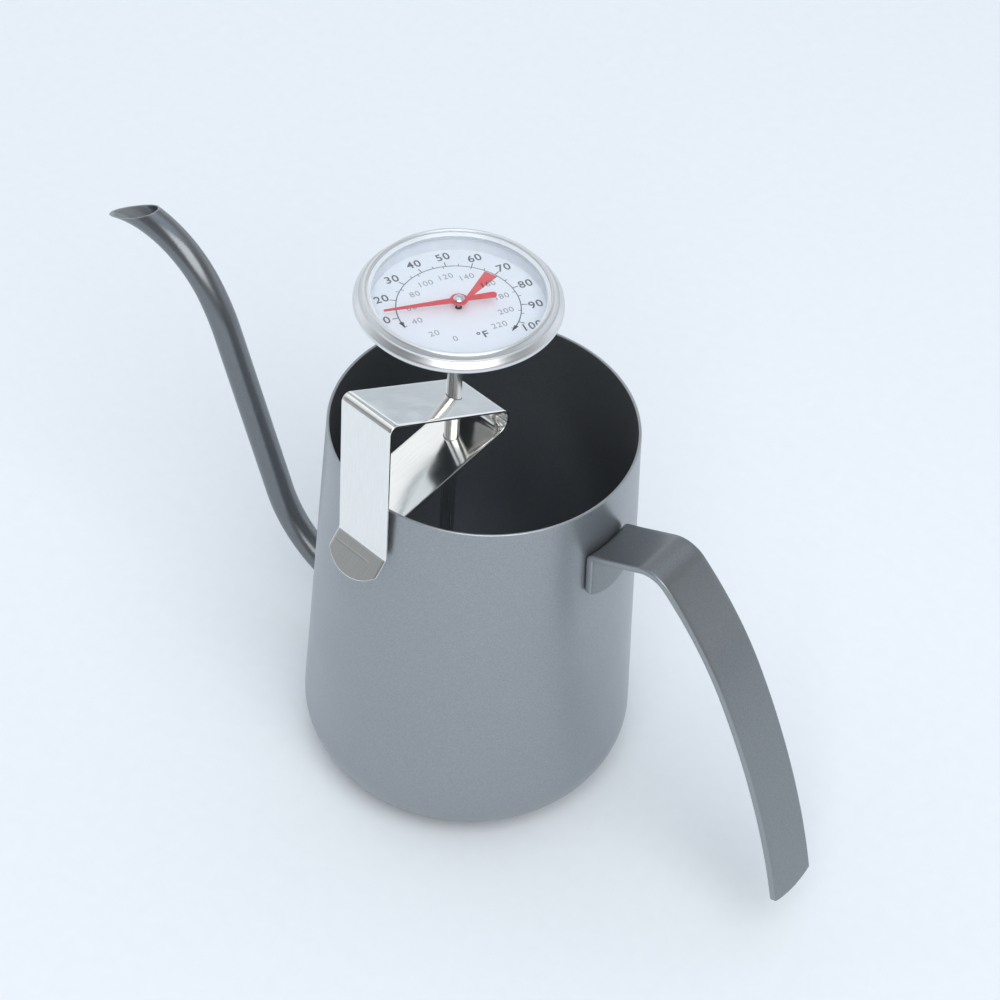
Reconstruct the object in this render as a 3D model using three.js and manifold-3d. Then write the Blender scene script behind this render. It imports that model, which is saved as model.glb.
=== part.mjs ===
// Gooseneck kettle with a clip-on dial thermometer.
// Millimetres, +Z up. The origin is the centre of the base's underside, the handle points along +X
// and the spout along -X.
import * as THREE from 'three';
import { mergeVertices } from 'three/addons/utils/BufferGeometryUtils.js';
import Module from 'manifold-3d';

const wasm = await Module();
wasm.setup();

const rad = THREE.MathUtils.degToRad;

// Driving dimensions
const rimRadius = 41;            // outer radius of the open mouth
const vesselHeight = 118;        // table to rim
const spoutRadius = 4;           // outer radius of the pouring tube
const handleWidth = 16;
const headRadius = 26.2;         // widest radius of the thermometer's bezel
const stemRadius = 2;

const wallTaper = rad(2.88);     // the wall leans out by this much towards the base
const baseCornerRadius = 15;
const sheet = 0.8;               // vessel wall
const spoutWall = 0.6;
const handleSheet = 2;
const clipSheet = 0.7;
const stemWall = 0.4;

// Clearances
const gap = 0.3;                 // between pieces that touch on the real kettle
const floorClearance = 27;       // from the table to the thermometer's tip

// The clip hooks over the rim a little way round from the spout, towards the front.
const clipAzimuth = rad(-94.5);
const clipSideShift = -1;        // the clip's middle plane misses the kettle's axis by this much
const stemReach = 0.256 * rimRadius;   // from the kettle's axis to the stem, along the clip
const stemSideShift = -1.8;

const coatLook = { color: 0x5c6064, metalness: 0.35, roughness: 0.5 };
const polishedLook = { color: 0xd9dcde, metalness: 1, roughness: 0.12 };
const satinLook = { color: 0xc9cdd1, metalness: 1, roughness: 0.3 };
const brassLook = { color: 0xb8964c, metalness: 1, roughness: 0.35 };
const bimetalLook = { color: 0xa08a78, metalness: 1, roughness: 0.4 };
const glassLook = { color: 0xf4f8fb, metalness: 0, roughness: 0.05, transparent: true, opacity: 0.3 };
const dialLook = { color: 0xeaf1f8, metalness: 0, roughness: 0.5 };
const needleLook = { color: 0xd8242f, metalness: 0, roughness: 0.4 };
const rubberLook = { color: 0x24262a, metalness: 0, roughness: 0.8 };

function solidOf(geometry) {
  const bare = geometry.clone();
  bare.deleteAttribute('normal');
  bare.deleteAttribute('uv');
  const merged = mergeVertices(bare, 1e-5);
  const mesh = new wasm.Mesh({
    numProp: 3,
    vertProperties: new Float32Array(merged.attributes.position.array),
    triVerts: new Uint32Array(merged.index.array),
  });
  return new wasm.Manifold(mesh);
}

function geometryOf(solid) {
  const mesh = solid.getMesh();
  const geometry = new THREE.BufferGeometry();
  geometry.setAttribute('position', new THREE.BufferAttribute(mesh.vertProperties, 3));
  geometry.setIndex(new THREE.BufferAttribute(mesh.triVerts, 1));
  geometry.computeVertexNormals();
  return geometry;
}

function piece(name, geometry, look) {
  const mesh = new THREE.Mesh(geometry, new THREE.MeshStandardMaterial(look));
  mesh.name = name;
  return mesh;
}

// Points of an arc in the plane, both ends included.
function arc(centre, radius, from, to, steps = 6) {
  const points = [];
  for (let i = 0; i <= steps; i += 1) {
    const angle = from + ((to - from) * i) / steps;
    points.push([centre[0] + radius * Math.cos(angle), centre[1] + radius * Math.sin(angle)]);
  }
  return points;
}

// Turns a closed outline of [radius, height] points about +Z.
function revolve(outline, segments) {
  const points = outline.map(([radius, height]) => new THREE.Vector2(radius, height));
  const onAxis = points[0].x === 0 && points[points.length - 1].x === 0;
  if (!onAxis) {
    points.push(points[0].clone());
  }
  if (THREE.ShapeUtils.area(points) < 0) {
    points.reverse();
  }
  return new THREE.LatheGeometry(points, segments).rotateX(Math.PI / 2);
}

// Follows straight and bent runs in a plane. A run is { length } or { radius, to }, where `to` is the
// heading the bend ends on. Gives points with the heading at each.
function follow(start, heading, runs, stepAngle) {
  const track = [{ x: start[0], y: start[1], heading }];
  for (const run of runs) {
    const last = track[track.length - 1];
    if (run.length !== undefined) {
      const x = last.x + run.length * Math.cos(last.heading);
      const y = last.y + run.length * Math.sin(last.heading);
      track.push({ x, y, heading: last.heading });
      continue;
    }
    const turn = run.to - last.heading;
    const side = Math.sign(turn);
    const steps = Math.max(2, Math.ceil(Math.abs(turn) / stepAngle));
    const centreX = last.x - side * run.radius * Math.sin(last.heading);
    const centreY = last.y + side * run.radius * Math.cos(last.heading);
    for (let i = 1; i <= steps; i += 1) {
      const angle = last.heading + (turn * i) / steps;
      const x = centreX + side * run.radius * Math.sin(angle);
      const y = centreY - side * run.radius * Math.cos(angle);
      track.push({ x, y, heading: angle });
    }
  }
  return track;
}

// The edge-on outline of a bent strip whose left face follows the track.
function stripOutline(track, thickness) {
  const left = track.map((point) => [point.x, point.y]);
  const right = track.map(({ x, y, heading }) => [
    x + thickness * Math.sin(heading),
    y - thickness * Math.cos(heading),
  ]);
  return left.concat(right.reverse());
}

// Extrudes an outline drawn in the (x, z) plane by `width`, centred on y = 0.
function slab(outline, width) {
  const shape = new THREE.Shape(outline.map(([x, z]) => new THREE.Vector2(x, z)));
  const geometry = new THREE.ExtrudeGeometry(shape, { depth: width, bevelEnabled: false });
  return geometry.translate(0, 0, -width / 2).rotateX(Math.PI / 2);
}

// What is cut from a strip's end to leave it rounded: everything beyond an arc that bulges by `bulge`
// in the middle. Drawn in the (along, side) plane with the strip's end pointing along +x.
function endCutter(endAt, width, bulge, height) {
  const over = 2;
  const half = width / 2;
  const radius = (half * half + bulge * bulge) / (2 * bulge);
  const sweep = Math.asin(half / radius);
  const outline = [
    [endAt - bulge, -half - over],
    [endAt + over, -half - over],
    [endAt + over, half + over],
    [endAt - bulge, half + over],
    ...arc([endAt - radius, 0], radius, sweep, -sweep, 10),
  ];
  const shape = new THREE.Shape(outline.map(([x, y]) => new THREE.Vector2(x, y)));
  return new THREE.ExtrudeGeometry(shape, { depth: height, bevelEnabled: false }).translate(0, 0, -height / 2);
}

function wallRadius(height) {
  return rimRadius + (vesselHeight - height) * Math.tan(wallTaper);
}

function placeAlongClip(geometry) {
  return geometry.translate(0, clipSideShift, 0).rotateZ(clipAzimuth);
}

const up = new THREE.Vector3(0, 0, 1);
const stemSpot = new THREE.Vector3(stemReach, stemSideShift, 0).applyAxisAngle(up, clipAzimuth);

function placeOnStem(geometry) {
  return geometry.translate(stemSpot.x, stemSpot.y, 0);
}

// Half outline of the vessel, from the axis at the base to the rim, `inset` inside the outer skin.
function vesselSkin(inset) {
  const across = rimRadius * Math.cos(wallTaper) + vesselHeight * Math.sin(wallTaper);
  const centreHeight = baseCornerRadius;
  const centreRadius = (across - baseCornerRadius - centreHeight * Math.sin(wallTaper)) / Math.cos(wallTaper);
  const corner = arc([centreRadius, centreHeight], baseCornerRadius - inset, rad(-90), wallTaper);
  const rim = [rimRadius - inset / Math.cos(wallTaper), vesselHeight];
  return [[0, inset], ...corner, rim];
}

const spoutRootHeight = 0.2066 * vesselHeight;
const spoutRootHeading = rad(7.7);

function spoutRoot(depth) {
  const radius = wallRadius(spoutRootHeight) - depth * Math.cos(spoutRootHeading);
  return [radius, spoutRootHeight - depth * Math.sin(spoutRootHeading)];
}

// A straight rod along the spout's root, used to clear the wall for the tube.
function spoutRootRod(radius, from, to) {
  const rod = new THREE.CylinderGeometry(radius, radius, to - from, 32);
  rod.translate(0, (to + from) / 2, 0).rotateZ(Math.PI / 2 - spoutRootHeading);
  const [x, z] = spoutRoot(0);
  return rod.rotateX(Math.PI / 2).translate(-x, 0, z);
}

function makeVessel() {
  const skin = revolve([...vesselSkin(0), ...vesselSkin(sheet).reverse()], 72);
  const hole = spoutRootRod(spoutRadius + gap, -6, 6);
  return geometryOf(solidOf(skin).subtract(solidOf(hole)));
}

// The spout leaves the wall almost level, climbs steeply beside the vessel and curls over at the tip.
function spoutTrack() {
  const climb = rad(68.1);
  const shoulder = rad(55.1);
  const tipHeading = rad(-20);
  const intoWall = 2.2;
  const lowBend = 8.64 * spoutRadius;
  const highBend = 14.1 * spoutRadius;
  const curl = 7.7 * spoutRadius;
  const tipHeight = 0.987 * vesselHeight;
  const rise = lowBend * (Math.cos(spoutRootHeading) - Math.cos(climb))
    + highBend * (Math.cos(shoulder) - Math.cos(climb))
    + curl * (Math.cos(tipHeading) - Math.cos(shoulder));
  const root = spoutRoot(intoWall);
  const runs = [
    { length: intoWall },
    { radius: lowBend, to: climb },
    { length: (tipHeight - spoutRootHeight - rise) / Math.sin(climb) },
    { radius: highBend, to: shoulder },
    { radius: curl, to: tipHeading },
    { length: 2 * spoutRadius },
  ];
  return follow(root, spoutRootHeading, runs, rad(8));
}

// A curve that passes straight from point to point, so that its stations fall on the bends.
class Stations extends THREE.Curve {
  constructor(points) {
    super();
    this.points = points;
  }

  getPoint(t) {
    const along = t * (this.points.length - 1);
    const index = Math.min(Math.floor(along), this.points.length - 2);
    return this.points[index].clone().lerp(this.points[index + 1], along - index);
  }

  getPointAt(u) {
    return this.getPoint(u);
  }

  getTangentAt(u) {
    const index = Math.round(u * (this.points.length - 1));
    const before = this.points[Math.max(index - 1, 0)];
    const after = this.points[Math.min(index + 1, this.points.length - 1)];
    return after.clone().sub(before).normalize();
  }

  getSpacedPoints() {
    return this.points.map((point) => point.clone());
  }
}

function circle(radius, sides) {
  const points = [];
  for (let i = 0; i < sides; i += 1) {
    const angle = (2 * Math.PI * i) / sides;
    points.push(new THREE.Vector2(radius * Math.cos(angle), radius * Math.sin(angle)));
  }
  return points;
}

function extrudeAlong(shape, points) {
  const extrudePath = new Stations(points);
  return new THREE.ExtrudeGeometry(shape, { steps: points.length - 1, bevelEnabled: false, extrudePath });
}

function makeSpoutTube() {
  const sides = 24;
  const track = spoutTrack();
  const wall = new THREE.Shape(circle(spoutRadius, sides));
  wall.holes.push(new THREE.Path(circle(spoutRadius - spoutWall, sides).reverse()));
  const tube = extrudeAlong(wall, track.map(({ x, y }) => new THREE.Vector3(-x, 0, y)));

  // The mouth is cut off at a slant that runs down to the pouring lip.
  const end = track[track.length - 1];
  const lipShort = 1.32 * spoutRadius;
  const lipX = end.x - lipShort * Math.cos(end.heading) + spoutRadius * Math.sin(end.heading);
  const lipZ = end.y - lipShort * Math.sin(end.heading) - spoutRadius * Math.cos(end.heading);
  const slant = rad(-29.2);
  const reach = 10 * spoutRadius;
  const back = [lipX - reach * Math.cos(slant), lipZ - reach * Math.sin(slant)];
  const front = [lipX + reach * Math.cos(slant), lipZ + reach * Math.sin(slant)];
  const lift = ([x, z]) => [x - reach * Math.sin(slant), z + reach * Math.cos(slant)];
  const outline = [front, back, lift(back), lift(front)].map(([x, z]) => [-x, z]);
  const waste = slab(outline, 4 * spoutRadius);
  return geometryOf(solidOf(tube).subtract(solidOf(waste)));
}

// The fillet of weld around the tube where it leaves the wall.
function makeSpoutWeld() {
  const inner = spoutRadius + gap;
  const bead = 1.2;
  const into = 3;
  const profile = [[inner, -into], [inner + bead, -into], [inner + bead, gap], [inner, gap + bead]];
  const ring = revolve(profile, 32).rotateY(spoutRootHeading - Math.PI / 2);
  const [x, z] = spoutRoot(0);
  ring.translate(-x, 0, z);
  const clearSkin = revolve(vesselSkin(-gap).concat([[0, vesselHeight]]), 72);
  return geometryOf(solidOf(ring).subtract(solidOf(clearSkin)));
}

// One strip: a tab curved to the wall and welded to it, a short arm that rises outward, and the long
// drooping grip.
function makeHandle() {
  const armHeight = vesselHeight - 15;
  const tabDrop = 15.2;
  const runs = [
    { length: 0.148 * vesselHeight },
    { radius: 4.6 * handleSheet, to: rad(-41.5) },
    { radius: 0.897 * vesselHeight, to: rad(-60) },
    { radius: 2.037 * vesselHeight, to: rad(-76.3) },
  ];
  const track = follow([rimRadius, armHeight], rad(23.3), runs, rad(6));
  const arm = solidOf(slab(stripOutline(track, handleSheet), handleWidth));
  const clearSkin = revolve(vesselSkin(-gap).concat([[0, vesselHeight]]), 72);

  const tabTop = armHeight - 0.6;
  const tabFoot = armHeight - tabDrop;
  const outline = [
    [wallRadius(tabFoot) - sheet, tabFoot],
    [wallRadius(tabFoot) + gap + handleSheet, tabFoot],
    [wallRadius(tabTop) + gap + handleSheet, tabTop],
    [wallRadius(tabTop) - sheet, tabTop],
  ];
  const band = solidOf(slab([[0, 0], [2 * rimRadius, 0], [2 * rimRadius, vesselHeight], [0, vesselHeight]], handleWidth));
  const tab = solidOf(revolve(outline, 72)).intersect(band);
  const tabCutter = endCutter(0, handleWidth, 2.4, 8 * handleSheet);
  tabCutter.rotateY(Math.PI / 2).translate(wallRadius(tabFoot), 0, tabFoot);
  const gripEnd = track[track.length - 1];
  const gripCutter = endCutter(0, handleWidth, 1.5, 4 * handleSheet);
  gripCutter.rotateY(-gripEnd.heading).translate(gripEnd.x, 0, gripEnd.y);
  const strip = arm.add(tab).subtract(solidOf(clearSkin));
  return geometryOf(strip.subtract(solidOf(tabCutter)).subtract(solidOf(gripCutter)));
}

// A springy strip bent to a hook: the return leg presses the wall from inside, the fold and the
// sloping plate carry the stem, and the outer leg hangs down outside the wall to a flared lip.
function makeClip() {
  const width = 17;
  const plateSlope = rad(27.4);
  const returnSlope = rad(10.9);
  const lipHeading = rad(-50);
  const foldRadius = 4.3;
  const topRadius = 2;
  const lipLength = 7.8;
  const legBottom = vesselHeight - 16;
  const cornerX = wallRadius(legBottom) + gap + clipSheet + 0.1;
  const cornerZ = vesselHeight + 31.8;
  const endBulge = 1.4;
  const endZ = vesselHeight - 5.1;
  const endX = wallRadius(endZ) - sheet - 2 * gap;

  const plateTan = Math.tan(plateSlope);
  const returnTan = Math.tan(returnSlope);
  const meetX = (endZ - cornerZ + cornerX * plateTan + endX * returnTan) / (plateTan + returnTan);
  const foldTrim = foldRadius / Math.tan((plateSlope + returnSlope) / 2);
  const topTrim = topRadius * Math.tan((rad(90) + plateSlope) / 2);
  const runs = [
    { length: (endX - meetX) / Math.cos(returnSlope) - foldTrim },
    { radius: foldRadius, to: plateSlope },
    { length: (cornerX - meetX) / Math.cos(plateSlope) - foldTrim - topTrim },
    { radius: topRadius, to: rad(-90) },
    { length: cornerZ - legBottom - topTrim },
    { radius: topRadius, to: lipHeading },
    { length: lipLength },
  ];
  const track = follow([endX, endZ], Math.PI - returnSlope, runs, rad(12));
  const strip = solidOf(slab(stripOutline(track, clipSheet), width));
  const cutEnd = ({ x, y, heading }, facing, bulge) => {
    const cutter = endCutter(0, width, bulge, 6 * clipSheet);
    return solidOf(cutter.rotateY(-heading - facing).translate(x, 0, y));
  };
  const innerEnd = cutEnd(track[0], Math.PI, endBulge);
  const lipEnd = cutEnd(track[track.length - 1], 0, 0.47 * lipLength);
  const stemHole = new THREE.CylinderGeometry(stemRadius + gap, stemRadius + gap, 60, 24);
  stemHole.rotateX(Math.PI / 2).translate(stemReach, stemSideShift - clipSideShift, vesselHeight + 10);
  const solid = strip.subtract(innerEnd).subtract(lipEnd).subtract(solidOf(stemHole));
  return placeAlongClip(geometryOf(solid));
}

// Heights of the thermometer's head
const headFloor = vesselHeight + 40.2;             // underside of the case
const caseRadius = headRadius - 2.2;
const caseWall = 0.5;
const caseFloorRadius = 0.71 * headRadius;
const shoulder = headFloor + caseRadius - caseFloorRadius;   // where the case's cone ends
const dialTop = shoulder - 0.6;
const needlePlane = shoulder + 1.6;
const stemTop = headFloor + 1.3;
const coilRadius = 1;
const spindleRadius = 0.4;
const coilFrom = floorClearance + 9;
const coilTurns = 10;
const coilPitch = 2.4;
const coilTo = coilFrom + coilTurns * coilPitch;
const dialSides = 56;              // facets round the head's pieces

function makeCase() {
  const slopeShift = caseWall * (Math.SQRT2 - 1);
  const profile = [
    [stemRadius + gap, headFloor],
    [caseFloorRadius, headFloor],
    [caseRadius, shoulder],
    [caseRadius, shoulder + 1.9],
    [caseRadius - caseWall, shoulder + 1.9],
    [caseRadius - caseWall, shoulder + slopeShift],
    [caseFloorRadius - slopeShift, headFloor + caseWall],
    [stemRadius + gap, headFloor + caseWall],
  ];
  return revolve(profile, dialSides);
}

// A rolled ring: a short skirt over the case, a bevel up to the sight opening and a lip over the glass.
function makeBezel() {
  const sight = caseRadius - 2.2;
  const profile = [
    [caseRadius + gap, shoulder + 0.9],
    [headRadius - 0.5, shoulder + 0.9],
    [headRadius, shoulder + 1.4],
    [headRadius - 0.3, shoulder + 1.9],
    [headRadius - 1, shoulder + 2.6],
    [caseRadius + 0.2, shoulder + 3.5],
    [caseRadius - 1, shoulder + 4.5],
    [sight, shoulder + 5.4],
    [sight, shoulder + 4.8],
    [caseRadius - 1.3, shoulder + 4.05],
    [caseRadius - 0.4, shoulder + 3.15],
    [caseRadius - 0.4, shoulder + 2.6],
    [caseRadius + gap, shoulder + 2.2],
  ];
  return revolve(profile, dialSides);
}

function makeDisc(radius, from, to, segments) {
  return revolve([[0, from], [radius, from], [radius, to], [0, to]], segments);
}

function makeRing(inner, outer, from, to, segments) {
  return revolve([[inner, from], [outer, from], [outer, to], [inner, to]], segments);
}

// The white collar that holds the dial down and stands between it and the glass.
function makeSpacer() {
  const profile = [
    [caseRadius - 2, shoulder - 0.3],
    [caseRadius - 1.4, shoulder - 0.3],
    [caseRadius - 0.8, shoulder + 0.3],
    [caseRadius - 0.8, shoulder + 1.9],
    [caseRadius - 1.5, shoulder + 1.9],
  ];
  return revolve(profile, dialSides);
}

function makeNeedle() {
  const thickness = 0.4;
  const hub = 2.2;
  const pointer = 0.727 * headRadius;
  const tail = 0.33 * headRadius;
  const tailEnd = 1;
  const prism = (points) => {
    const shape = new THREE.Shape(points.map(([x, y]) => new THREE.Vector2(x, y)));
    return solidOf(new THREE.ExtrudeGeometry(shape, { depth: thickness, bevelEnabled: false }));
  };
  const disc = (radius, x) => {
    const cylinder = new THREE.CylinderGeometry(radius, radius, thickness, 24).rotateX(Math.PI / 2);
    return solidOf(cylinder.translate(x, 0, thickness / 2));
  };
  const hand = prism([[0, -0.9], [pointer, -0.2], [pointer, 0.2], [0, 0.9]]);
  const balance = prism([[0, 0.65], [-tail, tailEnd], [-tail, -tailEnd], [0, -0.65]]);
  const bore = new THREE.CylinderGeometry(spindleRadius + gap, spindleRadius + gap, 4, 16).rotateX(Math.PI / 2);
  const solid = disc(hub, 0).add(hand).add(balance).add(disc(tailEnd, -tail)).subtract(solidOf(bore));
  const restHeading = rad(-125);       // where the pointer rests, at room temperature
  return geometryOf(solid).rotateZ(restHeading).translate(0, 0, needlePlane);
}

function makeHubCap() {
  const radius = 1.5;
  const height = 0.6;
  const bottom = needlePlane + 0.4 + gap;
  const domeRadius = (radius * radius + height * height) / (2 * height);
  const rim = Math.asin(radius / domeRadius);
  const dome = arc([0, bottom + height - domeRadius], domeRadius, Math.PI / 2 - rim, Math.PI / 2, 3);
  dome[dome.length - 1] = [0, bottom + height];
  return revolve([[0, bottom], ...dome], 24);
}

function makeNut() {
  const acrossCorners = 2.9 * stemRadius;
  const height = 7.4;
  const middle = headFloor - gap - height / 2;
  const hex = new THREE.CylinderGeometry(acrossCorners, acrossCorners, height, 6).rotateX(Math.PI / 2);
  const bore = new THREE.CylinderGeometry(stemRadius + gap, stemRadius + gap, 2 * height, 24).rotateX(Math.PI / 2);
  return geometryOf(solidOf(hex).subtract(solidOf(bore))).translate(0, 0, middle);
}

// The rounded plug that closes the stem's foot.
function makeTipPlug() {
  const spigot = stemRadius - stemWall - gap;
  const tip = floorClearance;
  const round = arc([0, tip + stemRadius], stemRadius, -Math.PI / 2, 0, 4);
  round[0] = [0, tip];
  const stemFoot = tip + stemRadius;
  return revolve([...round, [spigot, stemFoot], [spigot, stemFoot + 4], [0, stemFoot + 4]], 24);
}

function makeCoil() {
  const stepsPerTurn = 10;
  const points = [];
  for (let i = 0; i <= coilTurns * stepsPerTurn; i += 1) {
    const angle = (2 * Math.PI * i) / stepsPerTurn;
    const z = coilFrom + (coilPitch * i) / stepsPerTurn;
    points.push(new THREE.Vector3(coilRadius * Math.cos(angle), coilRadius * Math.sin(angle), z));
  }
  return extrudeAlong(new THREE.Shape(circle(0.22, 4)), points);
}

const bushOuter = stemRadius - stemWall - gap;
const bushInner = spindleRadius + gap;
const stemFoot = floorClearance + stemRadius + gap;
const spindleFoot = coilTo + 2;

const kettle = [
  ['vessel', makeVessel(), coatLook],
  ['spout_tube', makeSpoutTube(), coatLook],
  ['spout_weld', makeSpoutWeld(), coatLook],
  ['handle_strip', makeHandle(), coatLook],
  ['clip', makeClip(), polishedLook],
];

const thermometer = [
  ['stem_tube', makeRing(stemRadius - stemWall, stemRadius, stemFoot, stemTop, 32), polishedLook],
  ['stem_tip_plug', makeTipPlug(), polishedLook],
  ['calibration_nut', makeNut(), satinLook],
  ['bimetal_coil', makeCoil(), bimetalLook],
  ['coil_collet', makeDisc(1.2, coilTo + 0.6, spindleFoot - gap, 20), brassLook],
  ['lower_bush', makeRing(bushInner, bushOuter, spindleFoot + 2, spindleFoot + 4, 20), brassLook],
  ['upper_bush', makeRing(bushInner, bushOuter, stemTop - 3, stemTop - 1, 20), brassLook],
  ['spindle', makeDisc(spindleRadius, spindleFoot, needlePlane + 0.4, 16), satinLook],
  ['case_back', makeCase(), satinLook],
  ['dial_plate', makeRing(0.9, caseRadius - 2, dialTop - 0.3, dialTop, dialSides), dialLook],
  ['dial_spacer', makeSpacer(), dialLook],
  ['crystal_gasket', makeRing(caseRadius - 1.9, caseRadius - 1.1, shoulder + 2.3, shoulder + 2.9, dialSides), rubberLook],
  ['crystal', makeDisc(caseRadius - 1.45, shoulder + 3.2, shoulder + 3.75, dialSides), glassLook],
  ['bezel_ring', makeBezel(), satinLook],
  ['needle', makeNeedle(), needleLook],
  ['hub_cap', makeHubCap(), polishedLook],
];

const group = new THREE.Group();
group.name = 'gooseneck_kettle';
for (const [name, geometry, look] of kettle) {
  group.add(piece(name, geometry, look));
}
for (const [name, geometry, look] of thermometer) {
  group.add(piece(name, placeOnStem(geometry), look));
}

export default group;
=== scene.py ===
import math
import bmesh
import bpy
import numpy as np
from mathutils import Matrix, Vector


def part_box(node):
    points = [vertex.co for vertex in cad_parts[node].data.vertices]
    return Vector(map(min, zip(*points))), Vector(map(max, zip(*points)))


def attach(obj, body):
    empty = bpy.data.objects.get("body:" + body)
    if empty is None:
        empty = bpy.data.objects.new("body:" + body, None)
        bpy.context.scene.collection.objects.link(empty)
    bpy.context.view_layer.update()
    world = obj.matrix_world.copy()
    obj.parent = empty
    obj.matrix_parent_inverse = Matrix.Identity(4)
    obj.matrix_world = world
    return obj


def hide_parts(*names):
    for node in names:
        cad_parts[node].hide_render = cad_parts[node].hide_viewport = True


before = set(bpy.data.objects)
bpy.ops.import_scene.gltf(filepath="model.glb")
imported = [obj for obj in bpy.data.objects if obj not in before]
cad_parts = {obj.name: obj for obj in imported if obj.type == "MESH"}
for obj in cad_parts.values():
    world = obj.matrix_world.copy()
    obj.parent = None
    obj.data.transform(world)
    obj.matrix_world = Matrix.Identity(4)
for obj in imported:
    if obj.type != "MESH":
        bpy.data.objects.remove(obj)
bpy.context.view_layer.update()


# The vessel: a pot about 118 mm tall, drawn and spun from one steel disc, with a rounded foot, a wall
# that leans in to the mouth, a smooth rolled rim and one round hole low down for the spout.
# It is finished inside and out in a dark gunmetal coat with a fine metal fleck.
MM = 0.001
rim_radius = 41.0
vessel_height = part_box("vessel")[1].z / MM
wall_lean = math.radians(2.88)
foot_corner = 15.0
vessel_sheet = 0.8
spout_radius = 4.0
spout_root_height = 0.2066 * vessel_height
coat_dark = np.array([0.295, 0.316, 0.338])
coat_light = np.array([0.350, 0.372, 0.395])
# The fleck colour is also the colour of the painted highlight on rounded edges.
coat_fleck_and_highlight = np.array([0.52, 0.54, 0.56])


def start_finish(name, colour, metallic, roughness):
    """A material whose shader has one even colour, metallic share and roughness to begin with."""
    finish = bpy.data.materials.new(name)
    finish.use_nodes = True
    tree = finish.node_tree
    shader = tree.nodes["Principled BSDF"]
    shader.inputs["Base Color"].default_value = (*colour, 1.0)
    shader.inputs["Metallic"].default_value = metallic
    shader.inputs["Roughness"].default_value = roughness
    return finish, tree, shader


def grain(tree, per_metre, detail=2.0, stretch=(1.0, 1.0, 1.0), turn=(0.0, 0.0, 0.0)):
    """Cloudy noise on the piece's own coordinates, with so many clouds to the metre along each way."""
    place = tree.nodes.new("ShaderNodeTexCoord")
    turned = tree.nodes.new("ShaderNodeMapping")
    turned.vector_type = "POINT"
    turned.inputs["Location"].default_value = (1.5, 1.5, 1.5)
    turned.inputs["Rotation"].default_value = turn
    scaled = tree.nodes.new("ShaderNodeMapping")
    scaled.inputs["Scale"].default_value = stretch
    noise = tree.nodes.new("ShaderNodeTexNoise")
    noise.inputs["Scale"].default_value = per_metre
    noise.inputs["Detail"].default_value = detail
    tree.links.new(place.outputs["Object"], turned.inputs["Vector"])
    tree.links.new(turned.outputs["Vector"], scaled.inputs["Vector"])
    tree.links.new(scaled.outputs["Vector"], noise.inputs["Vector"])
    return noise.outputs["Fac"]


def spread(tree, value, low, high, lowest=0.3, highest=0.7):
    """Carries a value from its own range onto the range low to high, and stops it at both ends."""
    ranged = tree.nodes.new("ShaderNodeMapRange")
    ranged.inputs["From Min"].default_value = lowest
    ranged.inputs["From Max"].default_value = highest
    ranged.inputs["To Min"].default_value = low
    ranged.inputs["To Max"].default_value = high
    tree.links.new(value, ranged.inputs["Value"])
    return ranged.outputs["Result"]


def tint(tree, share, first, second):
    """A mix of two colours by a share from 0 to 1. Each is a plain colour or another mix's result."""
    mixed = tree.nodes.new("ShaderNodeMix")
    mixed.data_type = "RGBA"
    tree.links.new(share, mixed.inputs["Factor"])
    for socket, colour in ((mixed.inputs[6], first), (mixed.inputs[7], second)):
        if isinstance(colour, tuple):
            socket.default_value = (*colour, 1.0)
        else:
            tree.links.new(colour, socket)
    return mixed.outputs[2]


def dent(tree, shader, height, strength, depth):
    """Raises and lowers the surface by a height value, over so many metres of depth."""
    bump = tree.nodes.new("ShaderNodeBump")
    bump.inputs["Strength"].default_value = strength
    bump.inputs["Distance"].default_value = depth
    tree.links.new(height, bump.inputs["Height"])
    tree.links.new(bump.outputs["Normal"], shader.inputs["Normal"])
    return bump


def gunmetal_coat(name, smoothest, roughest, depth=1.0):
    """Dark coat with light and dark clouds, a scatter of bright flecks, and a painted highlight on rounded
    edges.
    """
    # depth scales every colour of the coat down: a darker copy of the same coat, as painted shade.
    finish, tree, shader = start_finish(name, depth * coat_dark, 0.8, roughest)
    clouds = spread(tree, grain(tree, 2300.0, 3.0), 0.0, 1.0)
    flecks = spread(tree, grain(tree, 4200.0, 1.0), 0.0, 0.40, 0.60, 0.74)
    drift = spread(tree, grain(tree, 45.0, 2.0), smoothest, roughest)
    # Painted highlight: the edge attribute mixes the light fleck colour onto rounded edges.
    painted_edge_highlight = tree.nodes.new("ShaderNodeAttribute")
    painted_edge_highlight.attribute_name = "painted_edge_highlight"
    edge_highlight_share = spread(tree, painted_edge_highlight.outputs["Fac"], 0.0, 0.30, 0.0, 1.0)
    colour = tint(tree, clouds, tuple(depth * coat_dark), tuple(depth * coat_light))
    colour = tint(tree, flecks, colour, tuple(depth * coat_fleck_and_highlight))
    colour = tint(tree, edge_highlight_share, colour, tuple(coat_fleck_and_highlight))
    tree.links.new(colour, shader.inputs["Base Color"])
    tree.links.new(drift, shader.inputs["Roughness"])
    dent(tree, shader, grain(tree, 1100.0, 2.0), 0.12, 0.00003)
    return finish


def cell_faces(rows, columns, closed_rows=False):
    """The four corners of each cell of a grid of points numbered row by row: the point, the next row's,
    the next row's and column's, and the next column's. Columns always run round to the first."""
    row = np.arange(rows if closed_rows else rows - 1)
    row, column = np.meshgrid(row, np.arange(columns), indexing="ij")
    below = (row + 1) % rows
    beside = (column + 1) % columns
    corners = (
        row * columns + column,
        below * columns + column,
        below * columns + beside,
        row * columns + beside,
    )
    return np.stack(corners, axis=-1)


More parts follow.
